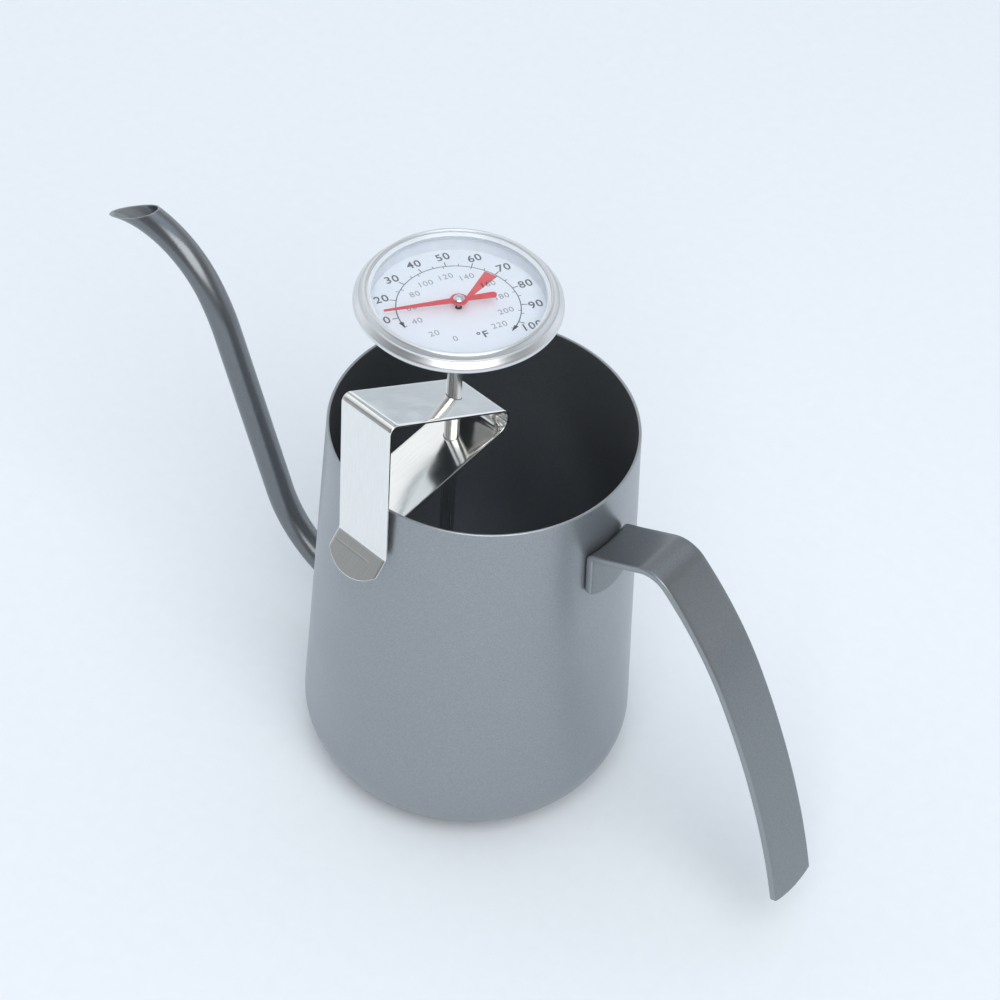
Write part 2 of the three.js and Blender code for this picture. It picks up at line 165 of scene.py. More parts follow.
def solid_piece(name, points, faces, finish, body, stands_for=(), painted_edge_highlight=None):
    """Puts points in millimetres and their faces into a mesh in metres, which rides on a body.

    Points that no face uses are left out. The volume is the sum over the triangles of the corners'
    triple product over six. Where it is negative the faces are turned round, so that they face out.
    """
    points = np.asarray(points, float).reshape(-1, 3)
    halves = [face[:, [0, 1, 2]] for face in faces]
    halves += [face[:, [0, 2, 3]] for face in faces if face.shape[1] == 4]
    halves = np.concatenate(halves)
    across = np.cross(points[halves[:, 1]], points[halves[:, 2]])
    volume = np.sum(points[halves[:, 0]] * across) / 6
    if volume < 0:
        faces = [face[:, ::-1] for face in faces]
    used = np.unique(np.concatenate([face.ravel() for face in faces]))
    number = np.zeros(len(points), int)
    number[used] = np.arange(len(used))
    polygons = []
    for face in faces:
        polygons += number[face].tolist()
    mesh = bpy.data.meshes.new(name)
    mesh.from_pydata((points[used] * MM).tolist(), [], polygons)
    # The optional per-point attribute carries the painted highlight on rounded edges.
    if painted_edge_highlight is not None:
        attribute = mesh.attributes.new("painted_edge_highlight", "FLOAT", "POINT")
        attribute.data.foreach_set("value", np.ravel(painted_edge_highlight)[used].astype(np.float32))
    mesh.shade_smooth()
    mesh.set_sharp_from_angle(angle=math.radians(48))
    mesh.materials.append(finish)
    piece = bpy.data.objects.new(name, mesh)
    bpy.context.scene.collection.objects.link(piece)
    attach(piece, body)
    if stands_for:
        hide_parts(*stands_for)
    return piece


def wall_radius(height):
    """The rim's radius, plus the drop below the rim times the tangent of the wall's lean."""
    return rim_radius + (vessel_height - height) * math.tan(wall_lean)


hole_half = 4
hole_fade = 2


def draw_to_circle(down, across, row, column, middle, reach):
    """Draws the grid points round (row, column) out to a round hole, in place.

    Ring k is the k-th square of points round the middle. Ring 4 goes onto the hole's edge and each ring
    beyond it 1 mm further out. The change fades to nothing two rings later: a point's new distance is
    (1 - fade) times its place on the circle plus fade times its own place. down and across are distances
    in millimetres along the rows' and the columns' ways. middle and reach are the hole's, in the same two.
    """
    block = np.arange(-hole_half - hole_fade, hole_half + hole_fade + 1)
    i, j = np.meshgrid(block, block, indexing="ij")
    ring = np.maximum(abs(i), abs(j))
    outside = ring >= hole_half
    i, j, ring = i[outside], j[outside], ring[outside]
    fade = (ring - hole_half) / hole_fade
    at = (row + i, column + j)
    down_way = np.sign(down[row + 1, column] - down[row - 1, column])
    across_way = np.sign(across[row, column + 1] - across[row, column - 1])
    angle = np.arctan2(i * down_way, j * across_way)
    on_circle = middle[0] + (reach[0] + ring - hole_half) * np.sin(angle)
    down[at] = (1 - fade) * on_circle + fade * down[at]
    on_circle = middle[1] + (reach[1] + ring - hole_half) * np.cos(angle)
    across[at] = (1 - fade) * on_circle + fade * across[at]


def join_hole(keep, columns, first, second, mirror):
    """Opens the cells inside two square blocks, and gives the faces that join one block's edge to the
    other's. The edge is walked once round: down-row side, left, up-row side, right. mirror is -1 for the
    way, of (rows, columns), in which the second block runs backwards."""
    for row, column in (first, second):
        keep[row - hole_half:row + hole_half, column - hole_half:column + hole_half] = False
    side = np.arange(-hole_half, hole_half)
    edge = np.full(len(side), hole_half)
    row_walk = np.concatenate([-edge, side, edge, -side])
    column_walk = np.concatenate([-side, -edge, side, edge])
    near = (first[0] + row_walk) * columns + first[1] + column_walk
    far = (second[0] + mirror[0] * row_walk) * columns + second[1] + mirror[1] * column_walk
    return np.stack([near, np.roll(near, -1), np.roll(far, -1), far], axis=-1)


def vessel_rows(inset, heights):
    """Radius and height of one skin from the base's flat to the wall's top: rings on the flat, a quarter
    circle of the foot's radius less the inset, and the leaning wall at the given heights."""
    lean = math.cos(wall_lean)
    across = rim_radius * lean + vessel_height * math.sin(wall_lean)
    flat = (across - foot_corner - foot_corner * math.sin(wall_lean)) / lean
    turn = np.linspace(-math.pi / 2, wall_lean, 30)
    flat_radii = flat * np.array([0.15, 0.35, 0.55, 0.75, 0.9, 0.97])
    radius = [flat_radii, flat + (foot_corner - inset) * np.cos(turn), wall_radius(heights) - inset / lean]
    height = [0 * flat_radii + inset, foot_corner + (foot_corner - inset) * np.sin(turn), heights]
    return np.concatenate(radius), np.concatenate(height)


vessel_columns = 192
rim_round = vessel_sheet / 2
wall_top = vessel_height - rim_round
wall_heights = np.linspace(foot_corner + 1.6, wall_top, 80)
outer_radius, outer_height = vessel_rows(0.0, wall_heights)
inner_radius, inner_height = vessel_rows(vessel_sheet, wall_heights)
rim_turn = wall_lean + np.linspace(0, math.pi, 11)[1:-1]
rim_middle = wall_radius(wall_top) - rim_round / math.cos(wall_lean)
skin_radius = np.concatenate([outer_radius, rim_middle + rim_round * np.cos(rim_turn), inner_radius[::-1]])
skin_height = np.concatenate([outer_height, wall_top + rim_round * np.sin(rim_turn), inner_height[::-1]])
skin_rows = len(skin_radius)
round_turn = np.linspace(0, 2 * math.pi, vessel_columns, endpoint=False)
skin_height = np.repeat(skin_height[:, None], vessel_columns, axis=1)
skin_radius = np.repeat(skin_radius[:, None], vessel_columns, axis=1)
hole_radius = wall_radius(spout_root_height)
skin_across = np.repeat(round_turn[None, :] * hole_radius, skin_rows, axis=0)
outer_hole = (int(np.argmin(abs(outer_height - spout_root_height))), vessel_columns // 2)
inner_hole = (skin_rows - 1 - outer_hole[0], vessel_columns // 2)
hole_reach = spout_radius + 0.3
for hole, drop in ((outer_hole, 0.0), (inner_hole, 0.11)):
    hole_middle = (spout_root_height - drop, math.pi * hole_radius)
    draw_to_circle(skin_height, skin_across, *hole, hole_middle, (hole_reach, hole_reach))
    near_hole = slice(hole[0] - 6, hole[0] + 7)
    inset = 0.0 if drop == 0 else vessel_sheet / math.cos(wall_lean)
    skin_radius[near_hole] = wall_radius(skin_height[near_hole]) - inset
skin_turn = skin_across / hole_radius
vessel_points = np.stack([
    skin_radius * np.cos(skin_turn),
    skin_radius * np.sin(skin_turn),
    skin_height,
], axis=-1)
vessel_points = np.concatenate([vessel_points.reshape(-1, 3), [[0, 0, 0], [0, 0, vessel_sheet]]])
vessel_cells = cell_faces(skin_rows, vessel_columns)
vessel_keep = np.ones(vessel_cells.shape[:2], bool)
hole_edge = join_hole(vessel_keep, vessel_columns, outer_hole, inner_hole, (-1, 1))
ring = np.arange(vessel_columns)
last_ring = (skin_rows - 1) * vessel_columns + ring
outer_pole = np.full(vessel_columns, len(vessel_points) - 2)
inner_pole = outer_pole + 1
vessel_faces = [
    vessel_cells[vessel_keep],
    hole_edge,
    np.stack([ring, np.roll(ring, -1), outer_pole], axis=-1),
    np.stack([np.roll(last_ring, -1), last_ring, inner_pole], axis=-1),
]
# Painted highlight: the rolled rim's rows get the lighter edge colour.
vessel_edge_highlight = np.zeros(len(vessel_points))
first_rim = len(outer_height) * vessel_columns
vessel_edge_highlight[first_rim:first_rim + len(rim_turn) * vessel_columns] = 1.0
vessel_coat = gunmetal_coat("gunmetal_coat", 0.30, 0.36)
solid_piece(
    "vessel_shell", vessel_points, vessel_faces, vessel_coat, "kettle", ["vessel"], vessel_edge_highlight)


# The spout: a thin steel tube 8 mm across, pushed into the wall's hole, bent to a climb and a curl, cut off
# at a slant so that its underside makes the pouring lip, and coated with the vessel.
spout_wall = 0.6
spout_root_heading = math.radians(7.7)
spout_climb = math.radians(68.1)
spout_shoulder = math.radians(55.1)
spout_tip_heading = math.radians(-13)
spout_top = 1.006 * vessel_height
spout_into_wall = 2.2
spout_columns = 72


def track_along(start, heading, runs, spacing):
    """Points, headings and distances along a path of straight runs and bends in a plane.

    A run is (length, turn). Within it the heading grows evenly, so the chord from the run's start to the
    distance s is s times sin(half the turn so far) over half the turn so far, and it points half-way
    between the first heading and the heading there.
    """
    points = [np.array([start], float)]
    headings = [np.array([heading], float)]
    distances = [np.array([0.0])]
    for length, turn in runs:
        share = np.linspace(0, 1, max(2, math.ceil(length / spacing)) + 1)[1:]
        so_far = turn * share
        chord = length * share * np.sinc(so_far / (2 * math.pi))
        way = headings[-1][-1] + so_far / 2
        points.append(points[-1][-1] + np.stack([chord * np.cos(way), chord * np.sin(way)], axis=-1))
        distances.append(distances[-1][-1] + length * share)
        headings.append(headings[-1][-1] + so_far)
    return np.concatenate(points), np.concatenate(headings), np.concatenate(distances)


def bend(radius, start, end):
    """A run of a given radius between two headings: its length is the radius times the turn."""
    return radius * abs(end - start), end - start


spout_low = bend(8.3 * spout_radius, spout_root_heading, spout_climb)
spout_high = bend(14.1 * spout_radius, spout_climb, spout_shoulder)
spout_curl = bend(7.95 * spout_radius, spout_shoulder, 0.0)
spout_root = (
    wall_radius(spout_root_height) - spout_into_wall * math.cos(spout_root_heading),
    spout_root_height - spout_into_wall * math.sin(spout_root_heading),
)
spout_runs = [(spout_into_wall, 0.0), spout_low, spout_high, spout_curl]
bent_rise = track_along(spout_root, spout_root_heading, spout_runs, 0.5)[0][-1, 1]
spout_straight = (spout_top - bent_rise) / math.sin(spout_climb)
spout_runs.insert(2, (spout_straight, 0.0))
spout_runs.append(bend(7.95 * spout_radius, 0.0, spout_tip_heading))
spout_runs.append((2 * spout_radius, 0.0))
spout_track, spout_heading, spout_along = track_along(spout_root, spout_root_heading, spout_runs, 0.25)


def tube_points(along, turn, radius):
    """Points of a tube round the spout's track: the track's point, plus the radius times the cosine of the
    turn along the track's upper side, plus the radius times the sine of the turn sideways. Over the last
    of its length the tube opens a little toward the mouth."""
    heading = np.interp(along, spout_along, spout_heading)
    radius = radius + 0.4 * np.clip((along - spout_along[-1]) / 45 + 1, 0, 1)
    out = np.interp(along, spout_along, spout_track[:, 0]) - radius * np.cos(turn) * np.sin(heading)
    up = np.interp(along, spout_along, spout_track[:, 1]) + radius * np.cos(turn) * np.cos(heading)
    return np.stack([-out, radius * np.sin(turn) + 0 * out, up], axis=-1)


spout_end = spout_track[-1]
lip_back = 0.80 * spout_radius
lip_slant = math.radians(-29.2)
lip_out = spout_end[0] - lip_back * math.cos(spout_tip_heading) + spout_radius * math.sin(spout_tip_heading)
lip_up = spout_end[1] - lip_back * math.sin(spout_tip_heading) - spout_radius * math.cos(spout_tip_heading)
lip_place = np.array([-lip_out, 0.0, lip_up])
lip_face = np.array([math.sin(lip_slant), 0.0, math.cos(lip_slant)])


def mouth_distance(turn, radius):
    """How far along the track each line of the tube first rises above the slanted cut: the first sample
    above it, moved back in proportion to the heights of that sample and of the one before."""
    along = np.linspace(spout_along[-1] - 34, spout_along[-1], 1200)
    above = (tube_points(along[None, :], turn[:, None], radius) - lip_place) @ lip_face
    first = np.clip(np.argmax(above > 0, axis=1), 1, None)
    line = np.arange(len(turn))
    share = above[line, first] / (above[line, first] - above[line, first - 1])
    return along[first] - share * (along[1] - along[0])


spout_turn = np.linspace(0, 2 * math.pi, spout_columns, endpoint=False)
mouth_wall = 0.42
outer_end = mouth_distance(spout_turn, spout_radius)
inner_end = mouth_distance(spout_turn, spout_radius - mouth_wall)
skew_from = min(outer_end.min(), inner_end.min()) - 4
steady_rows = np.linspace(0, skew_from, 120)
skew_share = np.linspace(0, 1, 25)[1:]
outer_along = np.concatenate([np.repeat(steady_rows[:, None], spout_columns, axis=1),
                              skew_from + skew_share[:, None] * (outer_end - skew_from)])
inner_along = np.concatenate([np.repeat(steady_rows[:, None], spout_columns, axis=1),
                              skew_from + skew_share[:, None] * (inner_end - skew_from)])
bore_share = np.concatenate([0 * steady_rows, skew_share])[:, None]
bore_radius = spout_radius - spout_wall + (spout_wall - mouth_wall) * bore_share ** 2
tube_outside = tube_points(outer_along, spout_turn[None, :], spout_radius)
tube_inside = tube_points(inner_along, spout_turn[None, :], bore_radius)
lip_turn = np.linspace(0, math.pi, 6)[1:-1][:, None, None]
lip_middle = (tube_outside[-1] + tube_inside[-1]) / 2
lip_half = (tube_outside[-1] - tube_inside[-1]) / 2
lip_round = lip_middle + lip_half * np.cos(lip_turn) + 0.16 * np.sin(lip_turn) * lip_face
spout_points = np.concatenate([tube_outside, lip_round, tube_inside[::-1]])
# Painted highlight: the rounded lip's rows get the lighter edge colour.
spout_edge_highlight = np.zeros(spout_points.shape[:2])
spout_edge_highlight[len(tube_outside) - 1:len(tube_outside) + 5] = 1.0
spout_faces = [cell_faces(len(spout_points), spout_columns, True).reshape(-1, 4)]
# The spout's coat is the vessel's coat with its colours darkened to 0.58: painted shade.
spout_coat = gunmetal_coat("gunmetal_coat_spout", 0.24, 0.30, 0.58)
solid_piece("spout", spout_points, spout_faces, spout_coat, "kettle", ["spout_tube"], spout_edge_highlight)


# The spout's weld: a smooth hollow fillet of weld metal where the tube leaves the wall, ground and coated.
weld_reach = 1.4
weld_columns = 72


def on_wall(aside, turn):
    """Distance out along the spout's root line at which a point set aside from that line meets the wall.
    It starts at nought and is corrected by the wall's radius less the point's own, over and over."""
    out = np.zeros(np.broadcast(aside, turn).shape)
    for _ in range(12):
        point = weld_points(aside, turn, out)
        out = out + wall_radius(point[..., 2]) - np.hypot(point[..., 0], point[..., 1])
    return out


def weld_points(aside, turn, out):
    """The root's point on the wall, plus a distance out along the tube, plus a distance aside from it."""
    lean_in, rise = math.cos(spout_root_heading), math.sin(spout_root_heading)
    radial = wall_radius(spout_root_height) + out * lean_in - aside * np.cos(turn) * rise
    up = spout_root_height + out * rise + aside * np.cos(turn) * lean_in
    return np.stack([-radial, aside * np.sin(turn) + 0 * radial, up], axis=-1)


weld_turn = np.linspace(0, 2 * math.pi, weld_columns, endpoint=False)[None, :]
weld_sweep = np.linspace(0, math.pi / 2, 9)[:, None]
weld_aside = spout_radius + 0.02 + weld_reach * (1 - np.sin(weld_sweep))[::-1]
weld_rise = weld_reach * (1 - np.cos(weld_sweep))[::-1]
weld_top = weld_points(weld_aside, weld_turn, on_wall(weld_aside, weld_turn) + weld_rise)
weld_under_aside = np.array([[spout_radius + 0.02 + weld_reach], [spout_radius + 0.02]])
weld_under = weld_points(weld_under_aside, weld_turn, on_wall(weld_under_aside, weld_turn) - 0.15)
weld_mesh_points = np.concatenate([weld_top, weld_under])
weld_faces = [cell_faces(len(weld_mesh_points), weld_columns, True).reshape(-1, 4)]
solid_piece("spout_fillet", weld_mesh_points, weld_faces, vessel_coat, "kettle", ["spout_weld"])


# The handle: one steel strip 16 mm wide and 2 mm thick. Its foot is a tab rolled to the wall and welded on,
# then it folds out to a short rising arm and bends over into the long drooping grip. The edges are eased.
handle_width = 16.0
handle_sheet = 2.0
handle_edge = 0.45
arm_height = vessel_height - 15
arm_heading = math.radians(23.3)
tab_foot = arm_height - 15.2
wall_gap = 0.3
tab_fold = 2.5


def strip_section(width, thickness, rounding, inset=0.0, flats=12):
    """Across and depth of a strip's outline with round corners, shrunk on all sides by the inset: the upper
    side from left to right, then the under side back. Depth is nought on the upper side's own plane."""
    radius = rounding - inset
    half = width / 2 - inset
    corner = np.radians(np.linspace(0, 90, 6))
    flat = np.linspace(-half + radius, half - radius, flats + 1)[1:-1]
    left = -half + radius - radius * np.cos(corner)
    drop = -inset - radius + radius * np.sin(corner)
    across = np.concatenate([left, flat, -left[::-1]])
    depth = np.concatenate([drop, 0 * flat - inset, drop[::-1]])
    under = -thickness - depth
    return np.concatenate([across, across[::-1]]), np.concatenate([depth, under[::-1]])


def strip_grid(length, rows, width, thickness, rounding, flats, start_bulge, end_bulge, fade):
    """Distance along, across and depth of every point of a strip with eased ends.

    The ends are arcs across the width: the arc's sagitta at a point is R minus the root of R squared less
    its distance across squared. Near an end the rows are moved back by the sagitta, fading out with the
    distance. The last rows shrink by rounding times (1 - cos a) as they near the end by rounding times sin a.
    """
    ease = np.radians(np.linspace(15, 62, 5))
    shrink = rounding * (1 - np.cos(ease))
    near_end = rounding * (1 - np.sin(ease) / np.sin(ease[-1]))
    inside = rows[(rows > rounding) & (rows < length - rounding)]
    along = np.concatenate([near_end[::-1], inside, length - near_end])
    plain = np.zeros(len(along) - 2 * len(ease))
    insets = np.concatenate([shrink[::-1], plain, shrink])
    sections = [strip_section(width, thickness, rounding, inset, flats) for inset in insets]
    across = np.array([section[0] for section in sections])
    depth = np.array([section[1] for section in sections])
    along = np.repeat(along[:, None], across.shape[1], axis=1)
    moved = along.copy()
    for bulge, from_end, way in ((start_bulge, along, 1), (end_bulge, length - along, -1)):
        arc = (width * width / 4 + bulge * bulge) / (2 * bulge)
        sagitta = arc - np.sqrt(arc * arc - across * across)
        moved = moved + way * sagitta * np.clip(1 - from_end / fade, 0, 1)
    return moved, across, depth


def strip_faces(rows, columns, keep=None):
    """The strip's cells, and its two ends closed by joining each upper point to the under point below it."""
    cells = cell_faces(rows, columns)
    body_cells = cells[keep] if keep is not None else cells.reshape(-1, 4)
    upper = np.arange(columns // 2 - 1)
    end = np.stack([upper, upper + 1, columns - 2 - upper, columns - 1 - upper], axis=-1)
    return [body_cells, end, (end + (rows - 1) * columns)[:, ::-1]]


def strip_place(track, headings, distances, along, depth):
    """Where the strip's points lie in its own plane: the track's point plus the depth along its left side."""
    heading = np.interp(along, distances, headings)
    out = np.interp(along, distances, track[:, 0]) - depth * np.sin(heading)
    up = np.interp(along, distances, track[:, 1]) + depth * np.cos(heading)
    return out, up


up_wall = math.pi / 2 + wall_lean
fold_trim = tab_fold * math.tan((up_wall - arm_heading) / 2)
fold_out = wall_radius(arm_height) + wall_gap
fold_up = arm_height + (fold_out - rim_radius) * math.tan(arm_heading)
tab_length = (fold_up - tab_foot) / math.cos(wall_lean) - fold_trim
arm_length = 0.148 * vessel_height - (fold_out - rim_radius) / math.cos(arm_heading) - fold_trim
grip_top = math.radians(-41.5)
grip_middle = math.radians(-60)
grip_end = math.radians(-76.3)
handle_runs = [
    (tab_length, 0.0),
    bend(tab_fold, up_wall, arm_heading),
    (arm_length, 0.0),
    bend(4.6 * handle_sheet, arm_heading, grip_top),
    bend(0.897 * vessel_height, grip_top, grip_middle),
    bend(2.037 * vessel_height, grip_middle, grip_end),
]
handle_runs[1] = (handle_runs[1][0], arm_heading - up_wall)
tab_start = (wall_radius(tab_foot) + wall_gap, tab_foot)
handle_track, handle_heading, handle_along = track_along(tab_start, up_wall, handle_runs, 0.2)
handle_length = handle_along[-1]
fold_end = tab_length + handle_runs[1][0]
handle_rows = np.concatenate([
    np.arange(0.0, tab_length, 0.9),
    np.linspace(tab_length, fold_end, 12),
    np.arange(fold_end + 0.7, fold_end + arm_length - 0.5, 0.9),
    np.linspace(fold_end + arm_length, fold_end + arm_length + handle_runs[3][0], 24),
    np.arange(fold_end + arm_length + handle_runs[3][0] + 0.8, handle_length, 1.1),
])
strip_along, strip_across, strip_depth = strip_grid(
    handle_length, handle_rows, handle_width, handle_sheet, handle_edge, 14, 2.4, 1.5, 9.0)
strip_out, strip_up = strip_place(handle_track, handle_heading, handle_along, strip_along, strip_depth)
tab_round = np.sqrt(fold_out ** 2 - strip_across ** 2) - fold_out
tab_fade = np.clip((fold_end + 3.5 - strip_along) / (fold_end + 3.5 - tab_length), 0, 1)
strip_out = strip_out + tab_round * tab_fade * tab_fade * (3 - 2 * tab_fade)
handle_points = np.stack([strip_out, strip_across, strip_up], axis=-1)
# Painted highlight along the strip's rounded sides: full at the sides, fading inward.
edge_near = np.minimum(handle_width / 2 - abs(strip_across), 2 * handle_edge)
handle_edge_highlight = np.clip(1 - edge_near / (0.8 * handle_edge), 0, 1)
# The handle's coat is the vessel's coat with its colours darkened to 0.72: painted shade.
handle_coat = gunmetal_coat("gunmetal_coat_handle", 0.27, 0.34, 0.72)
handle_faces = strip_faces(*handle_points.shape[:2])
solid_piece(
    "handle", handle_points, handle_faces, handle_coat, "kettle", ["handle_strip"], handle_edge_highlight)


# The clip: a springy strip of bright-rolled stainless 17 mm wide and 0.7 mm thick, bent over the rim.
# The inner leg presses on the wall, the sloping plate and the leg are both bored for the thermometer's
# stem, and the outer leg hangs down to a flared thumb lip with a pressed line across it.
clip_width = 17.0
clip_sheet = 0.7
clip_edge = 0.22
clip_azimuth = math.radians(-94.5)
clip_shift = -1.0
plate_slope = math.radians(27.4)
return_slope = math.radians(10.9)
lip_flare = math.radians(-50)
fold_radius = 4.3
top_radius = 2.0
clip_lip = 8.8
leg_bottom = vessel_height - 14.6
leg_out = wall_radius(leg_bottom) + 0.4 + clip_sheet + 0.1
leg_top = vessel_height + 31.8
inner_end_up = vessel_height - 5.1
inner_end_out = wall_radius(inner_end_up) - vessel_sheet - 0.6
stem_reach = 0.256 * rim_radius
stem_aside = -1.8
stem_hole = 2.15
steel_bright = (0.90, 0.90, 0.885)
steel_shade = (0.82, 0.82, 0.805)


def rolled_steel(name, smoothest, roughest, way):
    """Bright steel with long fine rolling streaks along the strip, which are noise squeezed hard across
    the width (turned by the strip's own way) and drawn out along it, with a few faint smudges."""
    finish, tree, shader = start_finish(name, steel_bright, 1.0, roughest)
    streaks = grain(tree, 1.0, 3.0, (5200.0, 160.0, 160.0), (0.0, 0.0, way))
    smudges = grain(tree, 130.0, 3.0)
    colour = tint(tree, spread(tree, streaks, 0.0, 1.0), steel_shade, steel_bright)
    tree.links.new(colour, shader.inputs["Base Color"])
    sum_node = tree.nodes.new("ShaderNodeMath")
    sum_node.operation = "ADD"
    tree.links.new(spread(tree, streaks, smoothest, roughest), sum_node.inputs[0])
    tree.links.new(spread(tree, smudges, 0.0, 0.07, 0.45, 0.75), sum_node.inputs[1])
    tree.links.new(sum_node.outputs[0], shader.inputs["Roughness"])
    dent(tree, shader, streaks, 0.05, 0.000005)
    return finish


plate_tan = math.tan(plate_slope)
return_tan = math.tan(return_slope)
meet_out = inner_end_up - leg_top + leg_out * plate_tan + inner_end_out * return_tan
meet_out = meet_out / (plate_tan + return_tan)
fold_trim = fold_radius / math.tan((plate_slope + return_slope) / 2)
top_trim = top_radius * math.tan((math.pi / 2 + plate_slope) / 2)
return_length = (inner_end_out - meet_out) / math.cos(return_slope) - fold_trim
plate_length = (leg_out - meet_out) / math.cos(plate_slope) - fold_trim - top_trim
leg_length = leg_top - leg_bottom - top_trim
clip_runs = [
    (return_length, 0.0),
    bend(fold_radius, math.pi - return_slope, plate_slope),
    (plate_length, 0.0),
    bend(top_radius, plate_slope, -math.pi / 2),
    (leg_length, 0.0),
    bend(top_radius, -math.pi / 2, lip_flare),
    (clip_lip, 0.0),
]
clip_start = (inner_end_out, inner_end_up)
clip_track, clip_heading, clip_along = track_along(clip_start, math.pi - return_slope, clip_runs, 0.1)
clip_length = clip_along[-1]
run_ends = np.cumsum([run[0] for run in clip_runs])
clip_rows = np.concatenate([
    np.arange(0.0, run_ends[0] - 0.3, 0.7),
    np.linspace(run_ends[0], run_ends[1], 34),
    np.arange(run_ends[1] + 0.5, run_ends[2] - 0.3, 0.7),
    np.linspace(run_ends[2], run_ends[3], 22),
    np.arange(run_ends[3] + 0.5, run_ends[4] - 0.4, 0.9),
    np.linspace(run_ends[4], run_ends[5], 10),
    np.arange(run_ends[5] + 0.16, clip_length, 0.16),
])
clip_flats = 24
hook_along, hook_across, hook_depth = strip_grid(
    clip_length, clip_rows, clip_width, clip_sheet, clip_edge, clip_flats, 1.4, 0.47 * clip_lip, 7.0)
clip_columns = hook_along.shape[1]
hole_aside = stem_aside - clip_shift
upper_column = int(np.argmin(abs(hook_across[20, :clip_columns // 2] - hole_aside)))
under_column = clip_columns - 1 - upper_column
hook_keep = np.ones((len(hook_along) - 1, clip_columns), bool)
hook_bores = []
for run, heading in ((0, math.pi - return_slope), (2, plate_slope)):
    started = 0.0 if run == 0 else run_ends[run - 1]
    run_start_out = np.interp(started, clip_along, clip_track[:, 0])
    bore_along = started + (stem_reach - run_start_out) / math.cos(heading)
    bore_row = int(np.argmin(abs(hook_along[:, upper_column] - bore_along)))
    bore_reach = (stem_hole / abs(math.cos(heading)), stem_hole)
    under_along = bore_along - clip_sheet * math.tan(heading)
    draw_to_circle(hook_along, hook_across, bore_row, upper_column, (bore_along, hole_aside), bore_reach)
    draw_to_circle(hook_along, hook_across, bore_row, under_column, (under_along, hole_aside), bore_reach)
    upper_bore = (bore_row, upper_column)
    under_bore = (bore_row, under_column)
    hook_bores.append(join_hole(hook_keep, clip_columns, upper_bore, under_bore, (1, -1)))
press_from_fold = 2.4
press_half = 0.16
press_depth = 0.05
press_line = np.exp(-((hook_along - run_ends[5] - press_from_fold) / press_half) ** 2)
press_ends = np.clip((hook_across + 7.6) / 0.8, 0, 1) * np.clip((4.2 - hook_across) / 0.8, 0, 1)
hook_depth = hook_depth - press_depth * press_line * press_ends * (hook_depth > -0.5 * clip_sheet)
hook_out, hook_up = strip_place(clip_track, clip_heading, clip_along, hook_along, hook_depth)
hook_side = hook_across + clip_shift
cos_clip, sin_clip = math.cos(clip_azimuth), math.sin(clip_azimuth)
clip_points = np.stack([
    hook_out * cos_clip - hook_side * sin_clip,
    hook_out * sin_clip + hook_side * cos_clip,
    hook_up,
], axis=-1)
clip_steel = rolled_steel("rolled_steel", 0.07, 0.11, -clip_azimuth - math.pi / 2)
clip_faces = strip_faces(*clip_points.shape[:2], hook_keep) + hook_bores
solid_piece("clip_hook", clip_points, clip_faces, clip_steel, "clip", ["clip"])


# The thermometer's stem: a drawn stainless tube 4 mm across, closed at the foot by a rounded plug, and held
# under the case by a hexagonal nut. It slides up and down through the clip's two holes.
stem_low, stem_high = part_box("stem_tube")
stem_centre = np.array([stem_low.x + stem_high.x, stem_low.y + stem_high.y]) / 2 / MM
stem_radius = 2.0
stem_wall = 0.4


def soften(corners, radii, steps=5, closed=True):
    """An outline with its corners rounded. At a corner of inner angle 2h the sides stop short by the radius
    over tan h, and an arc about a centre on the bisector, the radius over sin h away, joins them. A point
    a little before and after each arc keeps the sides flat. On an open outline the end points stay."""
    corner = np.asarray(corners, float)
    radius = np.broadcast_to(np.asarray(radii, float), (len(corner),))[:, None]
    back = np.roll(corner, 1, axis=0) - corner
    ahead = np.roll(corner, -1, axis=0) - corner
    back_length = np.linalg.norm(back, axis=1, keepdims=True)
    ahead_length = np.linalg.norm(ahead, axis=1, keepdims=True)
    back = back / back_length
    ahead = ahead / ahead_length
    half = np.arccos(np.clip(np.sum(back * ahead, axis=1, keepdims=True), -0.99999, 0.99999)) / 2
    trim = radius / np.tan(half)
    bisector = back + ahead
    bisector = bisector / np.linalg.norm(bisector, axis=1, keepdims=True)
    to_centre = bisector * radius / np.sin(half)
    sweep = (math.pi - 2 * half)[:, :, None]
    share = np.linspace(0, 1, steps + 1)[None, :, None]
    first = (back * trim - to_centre)[:, None, :]
    last = (ahead * trim - to_centre)[:, None, :]
    arcs = (np.sin((1 - share) * sweep) * first + np.sin(share * sweep) * last) / np.sin(sweep)
    arcs = arcs + (corner + to_centre)[:, None, :]
    guard_back = corner + back * (trim + np.minimum(0.5 * radius, 0.15 * back_length))
    guard_ahead = corner + ahead * (trim + np.minimum(0.5 * radius, 0.15 * ahead_length))
    rounded = np.concatenate([guard_back[:, None, :], arcs, guard_ahead[:, None, :]], axis=1)
    if closed:
        return rounded.reshape(-1, 2)
    return np.concatenate([corner[:1], rounded[1:-1].reshape(-1, 2), corner[-1:]])


